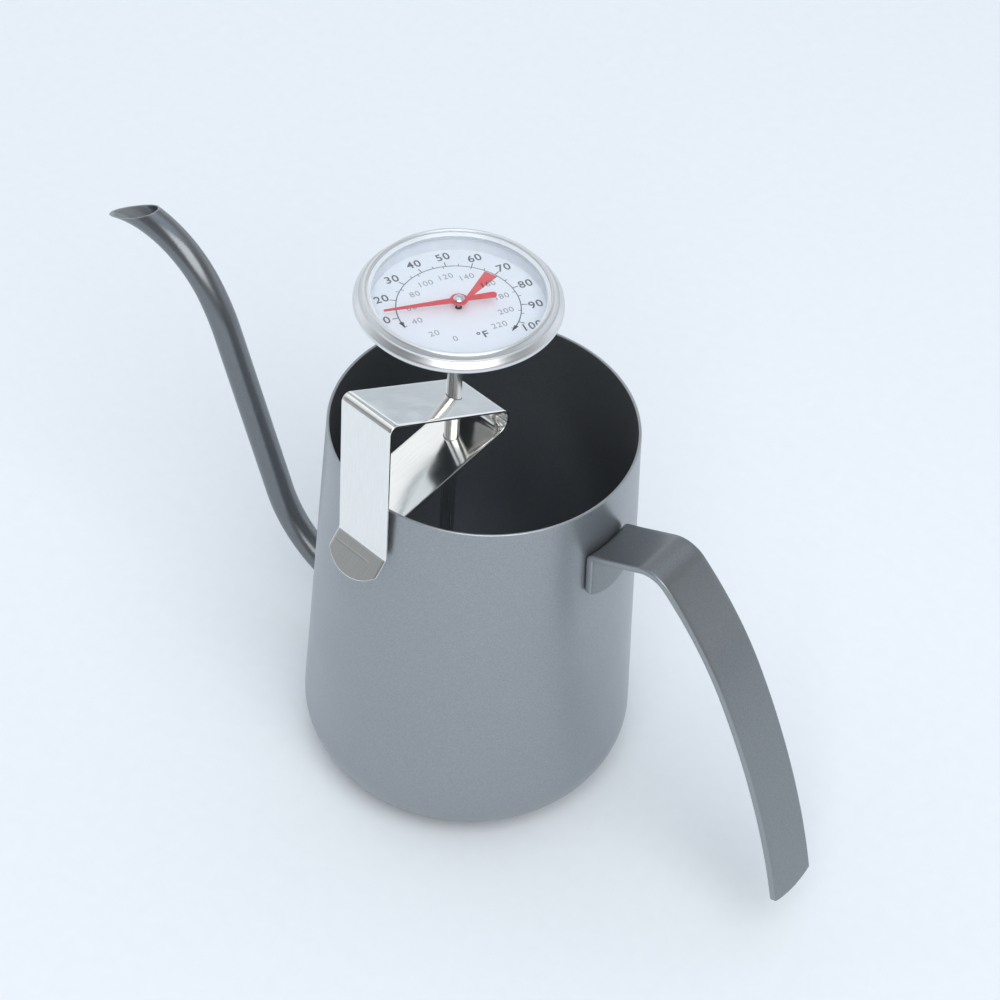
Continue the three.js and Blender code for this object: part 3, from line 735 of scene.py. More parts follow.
def turned_piece(name, outline, sides, finish, body, stands_for=(), scale_round=None):
    """A turned piece: each point (radius, height) of the outline is carried round the stem's own axis. An
    outline that starts and ends on the axis is closed there by poles; any other is a ring."""
    outline = np.asarray(outline, float)
    solid = outline[0, 0] < 1e-9
    rows = outline[1:-1] if solid else outline
    turn = np.linspace(0, 2 * math.pi, sides, endpoint=False)
    radius = np.repeat(rows[:, :1], sides, axis=1)
    if scale_round is not None:
        radius = scale_round(radius, rows[:, 1:], turn)
    points = np.stack([
        stem_centre[0] + radius * np.cos(turn),
        stem_centre[1] + radius * np.sin(turn),
        np.repeat(rows[:, 1:], sides, axis=1),
    ], axis=-1).reshape(-1, 3)
    cells = cell_faces(len(rows), sides, not solid).reshape(-1, 4)
    if not solid:
        return solid_piece(name, points, [cells], finish, body, stands_for)
    ring = np.arange(sides)
    last = (len(rows) - 1) * sides + ring
    poles = [[*stem_centre, outline[0, 1]], [*stem_centre, outline[-1, 1]]]
    points = np.concatenate([points, poles])
    foot = np.full(sides, len(points) - 2)
    faces = [
        cells,
        np.stack([ring, np.roll(ring, -1), foot], axis=-1),
        np.stack([np.roll(last, -1), last, foot + 1], axis=-1),
    ]
    return solid_piece(name, points, faces, finish, body, stands_for)


def drawn_steel(name, colour, smoothest, roughest):
    """Bright steel with fine lines drawn along the height: noise squeezed hard across the upright."""
    finish, tree, shader = start_finish(name, colour, 1.0, roughest)
    lines = grain(tree, 1.0, 3.0, (4200.0, 4200.0, 60.0))
    darker = tuple(0.92 * part for part in colour)
    tree.links.new(tint(tree, spread(tree, lines, 0.0, 1.0), darker, colour), shader.inputs["Base Color"])
    tree.links.new(spread(tree, lines, smoothest, roughest), shader.inputs["Roughness"])
    dent(tree, shader, lines, 0.03, 0.000004)
    return finish


def ring_outline(inner, outer, low, high, rounding):
    """A ring's section: a rectangle with rounded corners."""
    return soften([[inner, low], [outer, low], [outer, high], [inner, high]], rounding)


stem_steel = drawn_steel("drawn_steel", (0.93, 0.92, 0.90), 0.20, 0.28)
stem_foot = stem_low.z / MM
stem_top = stem_high.z / MM
stem_outline = ring_outline(stem_radius - stem_wall, stem_radius, stem_foot, stem_top, 0.12)
turned_piece("stem", stem_outline, 48, stem_steel, "stem", ["stem_tube"])

tip_low, tip_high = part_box("stem_tip_plug")
tip_low, tip_high = tip_low.z / MM, tip_high.z / MM
spigot = stem_radius - stem_wall - 0.3
tip_turn = np.linspace(-math.pi / 2, 0, 12)
tip_outline = np.concatenate([
    np.stack([
        stem_radius * np.cos(tip_turn),
        tip_low + stem_radius + stem_radius * np.sin(tip_turn),
    ], axis=-1),
    [[spigot + 0.2, tip_low + stem_radius + 0.02], [spigot, tip_low + stem_radius + 0.1]],
    [[spigot, tip_high - 0.2], [spigot - 0.2, tip_high], [0, tip_high]],
])
tip_outline[0] = (0, tip_low)
turned_piece("stem_tip", tip_outline, 40, stem_steel, "stem", ["stem_tip_plug"])

nut_low, nut_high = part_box("calibration_nut")
nut_low, nut_high = nut_low.z / MM, nut_high.z / MM
nut_corner = 2.9 * stem_radius
nut_bore = stem_radius + 0.3


def nut_radius(radius, height, turn):
    """A hexagon with turned ends: the flat's distance over the cosine of the angle from the flat's middle,
    but never more than a cone that comes in to the flats at each end. The bore stays round."""
    flat = nut_corner * math.cos(math.pi / 6)
    hexagon = flat / np.cos(np.mod(turn, math.pi / 3) - math.pi / 6)
    end = np.minimum(height - nut_low, nut_high - height)
    cone = 0.97 * flat + end / math.tan(math.radians(30))
    return np.where(radius > nut_bore + 0.5, np.minimum(radius / nut_corner * hexagon, cone), radius)


nut_rows = np.concatenate([np.linspace(0, 0.75, 8), np.linspace(1.0, nut_high - nut_low - 1.0, 6)])
nut_rows = np.concatenate([nut_rows, nut_high - nut_low - np.linspace(0.75, 0, 8)])
nut_faces_in = np.array([nut_bore + 0.15, nut_bore + 0.6, 0.8 * nut_corner])
nut_outline = np.concatenate([
    [[nut_bore, nut_low + 0.2], [nut_bore + 0.06, nut_low + 0.05]],
    np.stack([nut_faces_in, 0 * nut_faces_in + nut_low], axis=-1),
    np.stack([0 * nut_rows + nut_corner, nut_low + nut_rows], axis=-1),
    np.stack([nut_faces_in[::-1], 0 * nut_faces_in + nut_high], axis=-1),
    [[nut_bore + 0.06, nut_high - 0.05], [nut_bore, nut_high - 0.2]],
])
nut_steel = drawn_steel("turned_steel", (0.70, 0.70, 0.70), 0.24, 0.36)
turned_piece("nut", nut_outline, 144, nut_steel, "stem", ["calibration_nut"], nut_radius)


# The works inside the stem: a coiled bimetal strip that turns a thin spindle in two brass bushes. They
# stay as the frame has them, inside the tube, and only take their metals here.
def plain_metal(name, dark, light, smoothest, roughest):
    """Metal with small clouds of lighter and darker tone and of roughness."""
    finish, tree, shader = start_finish(name, light, 1.0, roughest)
    clouds = grain(tree, 900.0, 3.0)
    tree.links.new(tint(tree, spread(tree, clouds, 0.0, 1.0), dark, light), shader.inputs["Base Color"])
    tree.links.new(spread(tree, clouds, smoothest, roughest), shader.inputs["Roughness"])
    dent(tree, shader, clouds, 0.10, 0.00001)
    return finish


brass = plain_metal("brass", (0.50, 0.37, 0.15), (0.62, 0.48, 0.22), 0.25, 0.40)
bimetal = plain_metal("bimetal_strip", (0.36, 0.28, 0.22), (0.48, 0.39, 0.31), 0.32, 0.45)
spindle_steel = plain_metal("spindle_steel", (0.58, 0.58, 0.58), (0.70, 0.70, 0.70), 0.18, 0.30)
hidden_works = {
    "bimetal_coil": bimetal,
    "coil_collet": brass,
    "lower_bush": brass,
    "upper_bush": brass,
    "spindle": spindle_steel,
}
for works_node, works_finish in hidden_works.items():
    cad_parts[works_node].data.materials.clear()
    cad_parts[works_node].data.materials.append(works_finish)


# The head's case: a shallow dish of thin bright steel under the dial, pressed to a cone that opens from
# the nut to a short upright wall, which the bezel is rolled over.
case_low, case_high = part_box("case_back")
case_low, case_high = case_low.z / MM, case_high.z / MM
head_radius = 26.2
case_radius = head_radius - 2.2
case_floor = 0.71 * head_radius
shoulder = case_low + case_radius - case_floor
case_sheet = 0.5
case_slope = case_sheet * (math.sqrt(2) - 1)


def spun_steel(name, dark, light, smoothest, roughest):
    """Satin metal with fine rings round the stem's axis: noise read by the distance from that axis and by
    the height, so that each ring has its own shade and roughness."""
    finish, tree, shader = start_finish(name, light, 1.0, roughest)
    place = tree.nodes.new("ShaderNodeTexCoord")
    centred = tree.nodes.new("ShaderNodeMapping")
    centred.inputs["Location"].default_value = (-stem_centre[0] * MM, -stem_centre[1] * MM, 0.0)
    flat = tree.nodes.new("ShaderNodeVectorMath")
    flat.operation = "MULTIPLY"
    flat.inputs[1].default_value = (1.0, 1.0, 0.0)
    reach = tree.nodes.new("ShaderNodeVectorMath")
    reach.operation = "LENGTH"
    parts = tree.nodes.new("ShaderNodeSeparateXYZ")
    ring_place = tree.nodes.new("ShaderNodeCombineXYZ")
    rings = tree.nodes.new("ShaderNodeTexNoise")
    rings.inputs["Scale"].default_value = 5200.0
    rings.inputs["Detail"].default_value = 2.0
    tree.links.new(place.outputs["Object"], centred.inputs["Vector"])
    tree.links.new(centred.outputs["Vector"], flat.inputs[0])
    tree.links.new(flat.outputs["Vector"], reach.inputs[0])
    tree.links.new(centred.outputs["Vector"], parts.inputs["Vector"])
    tree.links.new(reach.outputs["Value"], ring_place.inputs["X"])
    tree.links.new(parts.outputs["Z"], ring_place.inputs["Y"])
    tree.links.new(ring_place.outputs["Vector"], rings.inputs["Vector"])
    fine = rings.outputs["Fac"]
    clouds = grain(tree, 160.0, 2.0)
    shade = tint(tree, spread(tree, fine, 0.0, 1.0), dark, light)
    tree.links.new(tint(tree, spread(tree, clouds, 0.0, 0.4), shade, dark), shader.inputs["Base Color"])
    tree.links.new(spread(tree, fine, smoothest, roughest), shader.inputs["Roughness"])
    dent(tree, shader, fine, 0.08, 0.000006)
    return finish


case_steel = spun_steel("spun_case_steel", (0.60, 0.61, 0.62), (0.76, 0.77, 0.78), 0.20, 0.30)
case_corners = [
    [stem_radius + 0.3, case_low],
    [case_floor, case_low],
    [case_radius, shoulder],
    [case_radius, case_high],
    [case_radius - case_sheet, case_high],
    [case_radius - case_sheet, shoulder + case_slope],
    [case_floor - case_slope, case_low + case_sheet],
    [stem_radius + 0.3, case_low + case_sheet],
]
case_outline = soften(case_corners, [0.1, 1.0, 1.2, 0.2, 0.2, 0.8, 0.6, 0.1])
turned_piece("case", case_outline, 160, case_steel, "head", ["case_back"])


# The dial: a disc of thin aluminium painted a cool white, with a white collar pressed down round its edge.
dial_low, dial_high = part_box("dial_plate")
dial_top = dial_high.z / MM
dial_radius = case_radius - 2


def painted(name, dark, light, smoothest, roughest):
    """Smooth paint with very faint clouds in its tone and a fine skin of its own."""
    finish, tree, shader = start_finish(name, light, 0.0, roughest)
    clouds = grain(tree, 220.0, 3.0)
    skin = grain(tree, 2600.0, 2.0)
    tree.links.new(tint(tree, spread(tree, clouds, 0.0, 1.0), dark, light), shader.inputs["Base Color"])
    tree.links.new(spread(tree, skin, smoothest, roughest), shader.inputs["Roughness"])
    dent(tree, shader, skin, 0.06, 0.00001)
    return finish


dial_paint = painted("dial_paint", (0.90, 0.93, 0.97), (0.92, 0.95, 0.985), 0.42, 0.52)
dial_outline = ring_outline(0.9, dial_radius + 0.6, dial_low.z / MM, dial_top, 0.07)
turned_piece("dial", dial_outline, 160, dial_paint, "head", ["dial_plate"])

collar_paint = painted("collar_paint", (0.76, 0.80, 0.85), (0.84, 0.88, 0.92), 0.30, 0.42)
collar_corners = [
    [case_radius - 2.05, shoulder - 0.57],
    [case_radius - 1.5, shoulder - 0.57],
    [case_radius - 0.8, shoulder + 0.3],
    [case_radius - 0.8, shoulder + 2.2],
    [case_radius - 1.6, shoulder + 2.2],
]
collar_outline = soften(collar_corners, [0.06, 0.15, 0.15, 0.15, 0.25])
turned_piece("collar", collar_outline, 160, collar_paint, "head", ["dial_spacer"])


# The dial's print: a thin scale arc with arrowheads, long and short Celsius ticks outside it and Fahrenheit
# ticks inside, two rings of numerals, and a red wedge for the brewing range, all in ink a hair thick.
ink_up = 0.035
scale_radius = 15.5
scale_start = -97.3
scale_end = 145.0
dial_up_azimuth = 154.0


def celsius_angle(degrees):
    """Degrees clockwise from the dial's top: 50 stands at 12, and each degree takes 2.4."""
    return 12 + 2.4 * (degrees - 50)


def fahrenheit_angle(degrees):
    """The same scale for Fahrenheit: 40 stands at the scale's start and each degree takes 2.4 x 5 / 9."""
    return scale_start + 2.4 * 5 / 9 * (degrees - 40)


def dial_place(radius, clockwise):
    """A place on the dial: the azimuth is the dial top's less the clockwise angle."""
    azimuth = np.radians(dial_up_azimuth - clockwise)
    return np.stack([
        stem_centre[0] + radius * np.cos(azimuth),
        stem_centre[1] + radius * np.sin(azimuth),
    ], axis=-1)


def ink_bars(inner, outer):
    """Thin closed bars from pairs of edge lines, each given as (bars, rows, 2) places on the dial. Each row
    is a small rectangle: inner edge low and high, outer edge high and low. The ends are closed."""
    bars, rows = inner.shape[:2]
    low = np.full((bars, rows, 1), dial_top - 0.02)
    high = np.full((bars, rows, 1), dial_top + ink_up)
    edges = ((inner, low), (inner, high), (outer, high), (outer, low))
    corners = [np.concatenate(pair, axis=-1) for pair in edges]
    points = np.stack(corners, axis=2).reshape(-1, 3)
    one = np.concatenate([
        cell_faces(rows, 4).reshape(-1, 4),
        [[0, 1, 2, 3]],
        [[rows * 4 - 1, rows * 4 - 2, rows * 4 - 3, rows * 4 - 4]],
    ])
    faces = one[None, :, :] + (np.arange(bars) * rows * 4)[:, None, None]
    return points, faces.reshape(-1, 4)


def ink_piece(name, parts, finish):
    """One printed piece from several sets of bars, with sharp faces."""
    points = np.concatenate([part[0] for part in parts])
    starts = np.cumsum([0] + [len(part[0]) for part in parts[:-1]])
    faces = np.concatenate([part[1] + start for part, start in zip(parts, starts)])
    piece = solid_piece(name, points, [faces], finish, "head")
    piece.data.shade_flat()
    return piece


def ticks(angles, inner, outer, thickness):
    """Radial ticks at the given angles: the thickness is turned into an angle at each radius."""
    radius = np.array([inner, outer])
    half = np.degrees(thickness / 2 / radius)
    angles = np.asarray(angles, float)[:, None]
    return ink_bars(dial_place(radius, angles - half), dial_place(radius, angles + half))


def printed_ink(name, colour):
    """Flat ink: an even colour with a faint cloud in its tone and roughness."""
    lighter = tuple(part + 0.03 for part in colour)
    return painted(name, colour, lighter, 0.45, 0.6)


black_ink = printed_ink("black_ink", (0.12, 0.125, 0.14))
grey_ink = printed_ink("grey_ink", (0.36, 0.37, 0.39))
red_ink = printed_ink("red_ink", (0.80, 0.09, 0.10))
arc_angle = np.linspace(scale_start, scale_end, 161)[None, :]
arc_half = 0.10 + 0.05 * np.clip((abs(arc_angle - 24) - 50) / 70, 0, 1)
scale_arc = ink_bars(
    dial_place(scale_radius - arc_half, arc_angle),
    dial_place(scale_radius + arc_half, arc_angle),
)
arrow_angle = np.stack([scale_start + np.array([7.0, -1.5]), scale_end + np.array([-7.0, 1.5])])
arrow_half = np.array([[0.62, 0.03], [0.62, 0.03]])
arrows = ink_bars(
    dial_place(scale_radius - arrow_half, arrow_angle),
    dial_place(scale_radius + arrow_half, arrow_angle),
)
tens = celsius_angle(np.arange(10, 101, 10))
fives = celsius_angle(np.arange(15, 100, 10))
twenties = fahrenheit_angle(np.arange(40, 221, 20))
scale_parts = [
    scale_arc,
    arrows,
    ticks(tens, scale_radius, 17.1, 0.22),
    ticks(fives, scale_radius, 16.3, 0.18),
    ticks(twenties, 14.7, scale_radius, 0.16),
]
ink_piece("dial_scale", scale_parts, black_ink)
wedge_row = np.linspace(0.6, 15.3, 24)
wedge = ink_bars(dial_place(wedge_row, 49.5)[None], dial_place(wedge_row, 63.0)[None])
ink_piece("dial_range_wedge", [wedge], red_ink)


def numerals(name, words, height, weight, finish):
    """Printed words as one mesh. Each is set in the plain built-in face, thickened by the weight, scaled so
    that a nought is as tall as the height, and moved so that its middle is at its radius and angle."""
    set_words = []
    for word, radius, angle in words:
        curve = bpy.data.curves.new(name, "FONT")
        curve.body = word
        curve.align_x = "CENTER"
        curve.align_y = "CENTER"
        curve.offset = weight
        curve.extrude = 0.5
        curve.space_character = 1.12
        temporary = bpy.data.objects.new(name + "_word", curve)
        bpy.context.scene.collection.objects.link(temporary)
        bpy.context.view_layer.update()
        evaluated = temporary.evaluated_get(bpy.context.evaluated_depsgraph_get())
        mesh = bpy.data.meshes.new_from_object(evaluated)
        bpy.data.objects.remove(temporary)
        bpy.data.curves.remove(curve)
        places = np.zeros(len(mesh.vertices) * 3, np.float32)
        mesh.vertices.foreach_get("co", places)
        places = places.reshape(-1, 3).astype(float)
        middle = (places.min(axis=0) + places.max(axis=0)) / 2
        size = height / 0.70
        spot = dial_place(radius, angle)
        reading = math.radians(dial_up_azimuth - 90)
        flat = (places[:, :2] - middle[:2]) * size
        east = spot[0] + flat[:, 0] * math.cos(reading) - flat[:, 1] * math.sin(reading)
        north = spot[1] + flat[:, 0] * math.sin(reading) + flat[:, 1] * math.cos(reading)
        level = np.where(places[:, 2] > 0, dial_top + ink_up, dial_top - 0.02)
        placed = np.stack([east, north, level], axis=-1) * MM
        mesh.vertices.foreach_set("co", placed.astype(np.float32).ravel())
        set_words.append(mesh)
    joined = bmesh.new()
    for mesh in set_words:
        joined.from_mesh(mesh)
        bpy.data.meshes.remove(mesh)
    bmesh.ops.remove_doubles(joined, verts=joined.verts, dist=0.000002)
    bmesh.ops.recalc_face_normals(joined, faces=joined.faces)
    mesh = bpy.data.meshes.new(name)
    joined.to_mesh(mesh)
    joined.free()
    mesh.materials.clear()
    mesh.materials.append(finish)
    piece = bpy.data.objects.new(name, mesh)
    bpy.context.scene.collection.objects.link(piece)
    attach(piece, "head")
    return piece


celsius_words = [(str(t), 19.2, float(celsius_angle(t))) for t in range(10, 101, 10)]
celsius_words.append(("°C", 18.8, 173.0))
numerals("dial_celsius", celsius_words, 2.45, 0.012, black_ink)
fahrenheit_at = [-152, -125, -95, -70, -44.5, -19.6, 8.5, 34.5, 63.5, 91, 118, 145.6]
fahrenheit_words = [(str(20 * n), 11.7, float(a)) for n, a in enumerate(fahrenheit_at)]
numerals("dial_fahrenheit", fahrenheit_words, 1.8, 0.0, grey_ink)
numerals("dial_unit", [("°F", 11.5, 173.0)], 2.25, 0.018, black_ink)


# The needle: a thin pressed hand in red enamel, with a tapered pointer, a round hub and a short rounded
# tail. It is pushed onto the spindle and held by a small polished cap.
needle_low, needle_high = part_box("needle")
needle_low, needle_high = needle_low.z / MM, needle_high.z / MM
needle_azimuth = math.radians(-125)
pointer = 0.727 * head_radius
tail = 0.33 * head_radius
tail_end = 1.0
hub = 2.2
needle_x = np.concatenate([
    -tail - tail_end * np.cos(np.linspace(0.12, math.pi / 2, 12)),
    np.linspace(-tail + 0.4, -hub - 0.3, 10),
    -hub * np.cos(np.linspace(0, math.pi, 33)),
    np.linspace(hub + 0.3, pointer, 26),
])


def needle_half_width(x):
    """The needle's half width: the smooth largest (the eighth root of the sum of eighth powers) of the hub's
    circle, the pointer's taper to its tip, and the tail's slow widening, which ends in a half circle."""
    circle = np.sqrt(np.clip(hub * hub - x * x, 0, None))
    point = np.where(x > 0, 0.9 - (0.9 - 0.22) * x / pointer, 0)
    bar = np.where(x < 0, 0.65 + (tail_end - 0.65) * np.clip(-x / tail, 0, 1), 0)
    over = np.clip(-tail - x, 0, tail_end)
    bar = np.where(x < -tail, np.sqrt(np.clip(tail_end ** 2 - over ** 2, 0.0001, None)), bar)
    return (circle ** 8 + point ** 8 + bar ** 8) ** 0.125


unit_across = np.array([-1, -0.985, -0.95, -0.88, -0.45, 0, 0.45, 0.88, 0.95, 0.985, 1])
unit_up = np.array([0.35, 0.75, 0.93, 1, 1, 1, 1, 1, 0.93, 0.75, 0.35])
unit_across = np.concatenate([unit_across, unit_across[::-1]])
unit_up = np.concatenate([unit_up, -unit_up[::-1]])
needle_side = needle_half_width(needle_x)[:, None] * unit_across
needle_height = (needle_low + needle_high) / 2 + (needle_high - needle_low) / 2 * unit_up + 0 * needle_side
needle_out = np.repeat(needle_x[:, None], len(unit_across), axis=1)
needle_points = np.stack([
    stem_centre[0] + needle_out * math.cos(needle_azimuth) - needle_side * math.sin(needle_azimuth),
    stem_centre[1] + needle_out * math.sin(needle_azimuth) + needle_side * math.cos(needle_azimuth),
    needle_height,
], axis=-1)
needle_enamel = painted("needle_enamel", (0.72, 0.045, 0.055), (0.80, 0.065, 0.075), 0.30, 0.40)
needle_faces = strip_faces(*needle_points.shape[:2])
solid_piece("needle_hand", needle_points, needle_faces, needle_enamel, "hand", ["needle"])

cap_low, cap_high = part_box("hub_cap")
cap_low, cap_high = cap_low.z / MM, cap_high.z / MM
cap_radius = 1.5
cap_height = cap_high - cap_low
dome_radius = (cap_radius ** 2 + cap_height ** 2) / (2 * cap_height)
dome_turn = np.linspace(math.asin((cap_radius - 0.06) / dome_radius), 0, 12)
cap_outline = np.concatenate([
    [[0, cap_low], [0.7, cap_low], [cap_radius - 0.12, cap_low], [cap_radius - 0.03, cap_low + 0.02]],
    np.stack([
        dome_radius * np.sin(dome_turn),
        cap_high - dome_radius + dome_radius * np.cos(dome_turn),
    ], axis=-1),
])
cap_outline[-1] = (0, cap_high)
cap_steel = plain_metal("cap_steel", (0.72, 0.73, 0.74), (0.82, 0.83, 0.84), 0.12, 0.20)
turned_piece("hub_dome", cap_outline, 48, cap_steel, "hand", ["hub_cap"])


# The glass and its seal: a clear window with a pale bevelled edge, resting on a thin ring of pale rubber
# above the collar. The edge is ground, so it hides what is printed close under it.
gasket_low, gasket_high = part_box("crystal_gasket")
gasket_radius = (gasket_high.x - gasket_low.x) / 2 / MM
gasket_low, gasket_high = gasket_low.z / MM, gasket_high.z / MM
gasket_outline = ring_outline(gasket_radius - 0.85, gasket_radius, gasket_low, gasket_high + 0.25, 0.2)
gasket_rubber = painted("gasket_rubber", (0.70, 0.74, 0.78), (0.76, 0.80, 0.84), 0.45, 0.6)
turned_piece("seal", gasket_outline, 160, gasket_rubber, "head", ["crystal_gasket"])

glass_low, glass_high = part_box("crystal")
glass_radius = (glass_high.x - glass_low.x) / 2 / MM
glass_low, glass_high = glass_low.z / MM, glass_high.z / MM
glass = bpy.data.materials.new("clear_glass")
glass.use_nodes = True
glass_tree = glass.node_tree
glass_tree.nodes.remove(glass_tree.nodes["Principled BSDF"])
clear = glass_tree.nodes.new("ShaderNodeBsdfTransparent")
clear.inputs["Color"].default_value = (0.985, 0.992, 1.0, 1.0)
gloss = glass_tree.nodes.new("ShaderNodeBsdfGlossy")
gloss.inputs["Color"].default_value = (0.95, 0.97, 1.0, 1.0)
gloss.inputs["Roughness"].default_value = 0.03
edge_gloss = glass_tree.nodes.new("ShaderNodeLayerWeight")
edge_gloss.inputs["Blend"].default_value = 0.5
slant = glass_tree.nodes.new("ShaderNodeMath")
slant.operation = "POWER"
slant.inputs[1].default_value = 3.0
gloss_share = glass_tree.nodes.new("ShaderNodeMapRange")
gloss_share.inputs["To Min"].default_value = 0.035
gloss_share.inputs["To Max"].default_value = 0.9
glass_tree.links.new(edge_gloss.outputs["Facing"], slant.inputs[0])
glass_tree.links.new(slant.outputs["Value"], gloss_share.inputs["Value"])
glass_mix = glass_tree.nodes.new("ShaderNodeMixShader")
glass_tree.links.new(gloss_share.outputs["Result"], glass_mix.inputs["Fac"])
glass_tree.links.new(clear.outputs["BSDF"], glass_mix.inputs[1])
glass_tree.links.new(gloss.outputs["BSDF"], glass_mix.inputs[2])
glass_bevel = glass_tree.nodes.new("ShaderNodeBsdfPrincipled")
glass_bevel.inputs["Base Color"].default_value = (0.80, 0.84, 0.88, 1.0)
glass_bevel.inputs["Roughness"].default_value = 0.15
glass_place = glass_tree.nodes.new("ShaderNodeTexCoord")
glass_reach = glass_tree.nodes.new("ShaderNodeVectorMath")
glass_reach.operation = "DISTANCE"
glass_reach.inputs[1].default_value = (stem_centre[0] * MM, stem_centre[1] * MM, glass_high * MM)
glass_edge = glass_tree.nodes.new("ShaderNodeMapRange")
glass_edge.interpolation_type = "SMOOTHSTEP"
glass_edge.inputs["From Min"].default_value = (glass_radius - 0.95) * MM
glass_edge.inputs["From Max"].default_value = (glass_radius - 0.65) * MM
glass_edge.inputs["To Max"].default_value = 0.85
glass_ring = glass_tree.nodes.new("ShaderNodeMixShader")
glass_tree.links.new(glass_place.outputs["Object"], glass_reach.inputs[0])
glass_tree.links.new(glass_reach.outputs["Value"], glass_edge.inputs["Value"])
glass_tree.links.new(glass_edge.outputs["Result"], glass_ring.inputs["Fac"])
glass_tree.links.new(glass_mix.outputs["Shader"], glass_ring.inputs[1])
glass_tree.links.new(glass_bevel.outputs["BSDF"], glass_ring.inputs[2])
glass_tree.links.new(glass_ring.outputs["Shader"], glass_tree.nodes["Material Output"].inputs["Surface"])
glass_corners = [
    [0, glass_low],
    [glass_radius, glass_low],
    [glass_radius + 0.2, glass_high + 0.75],
    [glass_radius - 0.1, glass_high + 0.75],
    [glass_radius - 0.9, glass_high],
    [0, glass_high],
]
glass_outline = soften(glass_corners, 0.1, closed=False)
turned_piece("window", glass_outline, 160, glass, "head", ["crystal"])


# The bezel: a bright ring rolled over the case. A skirt stands outside the case's wall, a shallow groove
# parts it from the bevel, and the bevel's rounded lip closes round the edge of the glass.
bezel_corners = [
    [case_radius + 0.3, shoulder + 0.9],
    [head_radius - 0.35, shoulder + 0.9],
    [head_radius, shoulder + 1.35],
    [head_radius - 0.1, shoulder + 2.2],
    [case_radius + 0.85, shoulder + 3.6],
    [case_radius + 0.35, shoulder + 3.65],
    [case_radius - 0.2, shoulder + 4.9],
    [case_radius - 0.85, shoulder + 5.2],
    [case_radius - 1.25, shoulder + 5.0],
    [case_radius - 1.25, shoulder + 3.9],
    [case_radius - 0.5, shoulder + 3.05],
    [case_radius - 0.4, shoulder + 2.6],
    [case_radius + 0.3, shoulder + 2.2],
]
bezel_radii = [0.1, 0.2, 0.35, 1.2, 0.15, 0.12, 0.6, 0.3, 0.12, 0.1, 0.2, 0.1, 0.2]
bezel_metal = spun_steel("spun_bezel", (0.70, 0.71, 0.72), (0.80, 0.81, 0.82), 0.28, 0.38)
bezel_outline = soften(bezel_corners, bezel_radii)
turned_piece("bezel", bezel_outline, 224, bezel_metal, "head", ["bezel_ring"])


# The studio: a wide pale floor, two big soft lamps left and right, and a pale room that is brightest low
# down behind the kettle and right overhead, and darker at the front.
floor_half = 9.0
floor_mesh = bpy.data.meshes.new("studio_floor")
floor_corners = [(-floor_half, -floor_half, 0), (floor_half, -floor_half, 0), (floor_half, floor_half, 0)]
floor_corners.append((-floor_half, floor_half, 0))
floor_mesh.from_pydata(floor_corners, [], [(0, 1, 2, 3)])
floor_paper = painted("floor_paper", (0.835, 0.875, 0.915), (0.85, 0.89, 0.93), 0.8, 0.9)
floor_mesh.materials.append(floor_paper)
floor = bpy.data.objects.new("studio_floor", floor_mesh)
bpy.context.scene.collection.objects.link(floor)


def soft_lamp(name, place, aim, size, power, colour):
    """A square soft light at a place, facing the aim point, with its power in watts."""
    lamp = bpy.data.lights.new(name, "AREA")
    lamp.shape = "SQUARE"
    lamp.size = size
    lamp.energy = power
    lamp.color = colour
    lamp_object = bpy.data.objects.new(name, lamp)
    lamp_object.location = place
    lamp_object.rotation_euler = (Vector(place) - Vector(aim)).to_track_quat("Z", "Y").to_euler()
    bpy.context.scene.collection.objects.link(lamp_object)
    return lamp_object


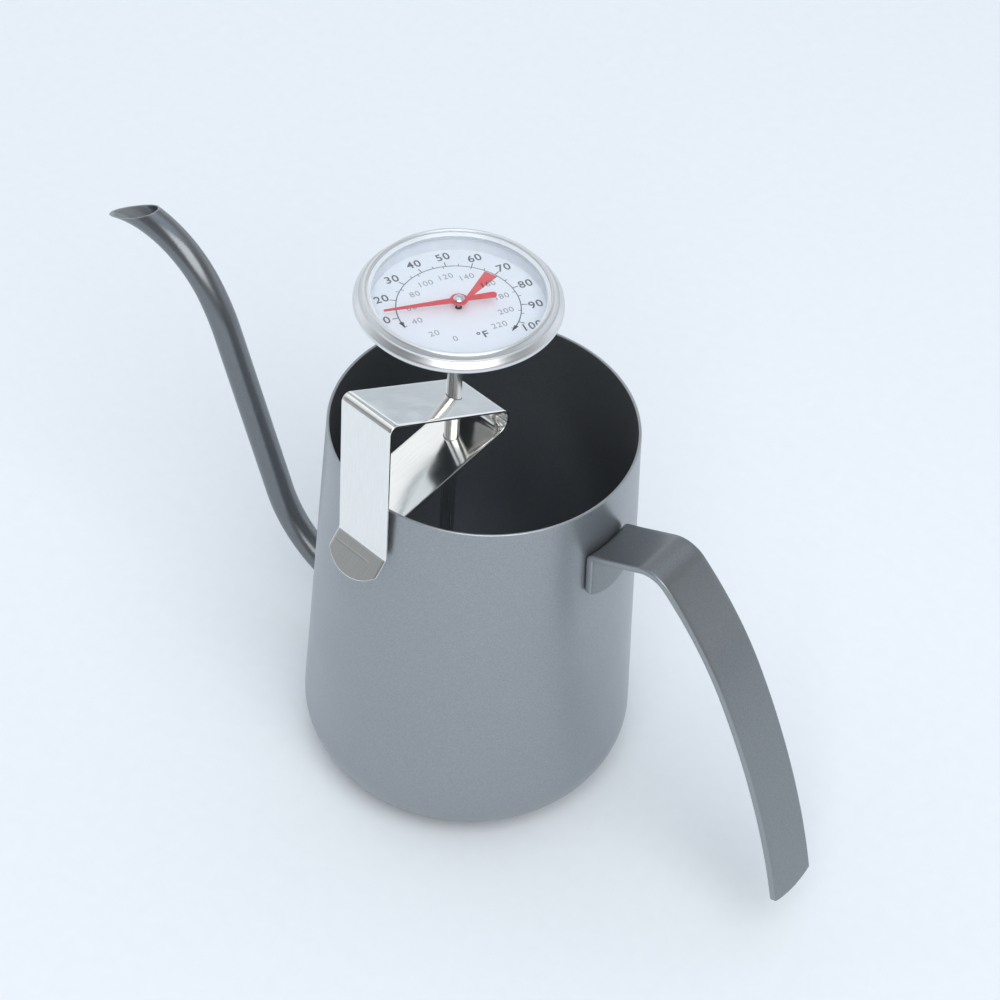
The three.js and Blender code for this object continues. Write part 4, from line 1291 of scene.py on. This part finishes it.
middle = (0.0, 0.0, 0.08)
soft_lamp("lamp_left", (-2.4, -0.4, 2.9), middle, 3.4, 11.0, (1.0, 0.99, 0.98))
soft_lamp("lamp_front", (1.5, -1.3, 2.6), middle, 3.0, 81.0, (1.0, 0.995, 0.99))
bpy.context.scene.view_settings.view_transform = "Standard"
room = bpy.data.worlds.new("pale_room")
bpy.context.scene.world = room
room.use_nodes = True
room_tree = room.node_tree
room_light = room_tree.nodes["Background"]
way = room_tree.nodes.new("ShaderNodeTexCoord")
way_parts = room_tree.nodes.new("ShaderNodeSeparateXYZ")
room_shade = room_tree.nodes.new("ShaderNodeValToRGB")
room_shade.color_ramp.elements[0].position = 0.0
room_shade.color_ramp.elements[0].color = (0.80, 0.86, 0.93, 1.0)
room_shade.color_ramp.elements[1].position = 1.0
room_shade.color_ramp.elements[1].color = (1.15, 1.38, 1.65, 1.0)
for position, shade in ((0.15, 1.15), (0.48, 0.62), (0.66, 0.42), (0.85, 0.70)):
    stop = room_shade.color_ramp.elements.new(position)
    stop.color = (0.93 * shade, 0.97 * shade, shade, 1.0)
room_tree.links.new(way.outputs["Generated"], way_parts.inputs["Vector"])
room_tree.links.new(way_parts.outputs["Z"], room_shade.inputs["Fac"])
room_tree.links.new(room_shade.outputs["Color"], room_light.inputs["Color"])
room_side = room_tree.nodes.new("ShaderNodeVectorMath")
room_side.operation = "DOT_PRODUCT"
room_side.inputs[1].default_value = (-0.59, 0.81, 0.0)
room_strength = room_tree.nodes.new("ShaderNodeMapRange")
room_strength.inputs["From Min"].default_value = -0.4
room_strength.inputs["From Max"].default_value = 0.4
room_strength.inputs["To Min"].default_value = 0.32
room_strength.inputs["To Max"].default_value = 1.10
room_tree.links.new(way.outputs["Generated"], room_side.inputs[0])
room_tree.links.new(room_side.outputs["Value"], room_strength.inputs["Value"])
room_tree.links.new(room_strength.outputs["Result"], room_light.inputs["Strength"])


# The camera: a 100 mm lens looking down at the kettle from the front, a little to the handle's side.
camera_data = bpy.data.cameras.new("studio_camera")
camera_data.lens = 100.0
camera_data.sensor_width = 36.0
camera_data.clip_start = 0.05
camera_data.clip_end = 40.0
camera = bpy.data.objects.new("studio_camera", camera_data)
camera_right = Vector((0.7734, 0.63171, 0.05282)).normalized()
camera_back = Vector((0.41619, -0.56886, 0.70936)).normalized()
camera_up = camera_back.cross(camera_right).normalized()
camera_place = Vector((313.09, -418.56, 615.93)) * MM
camera_turn = Matrix((camera_right, camera_up, camera_back)).transposed().to_4x4()
camera.matrix_world = Matrix.Translation(camera_place) @ camera_turn
bpy.context.scene.collection.objects.link(camera)
bpy.context.scene.camera = camera
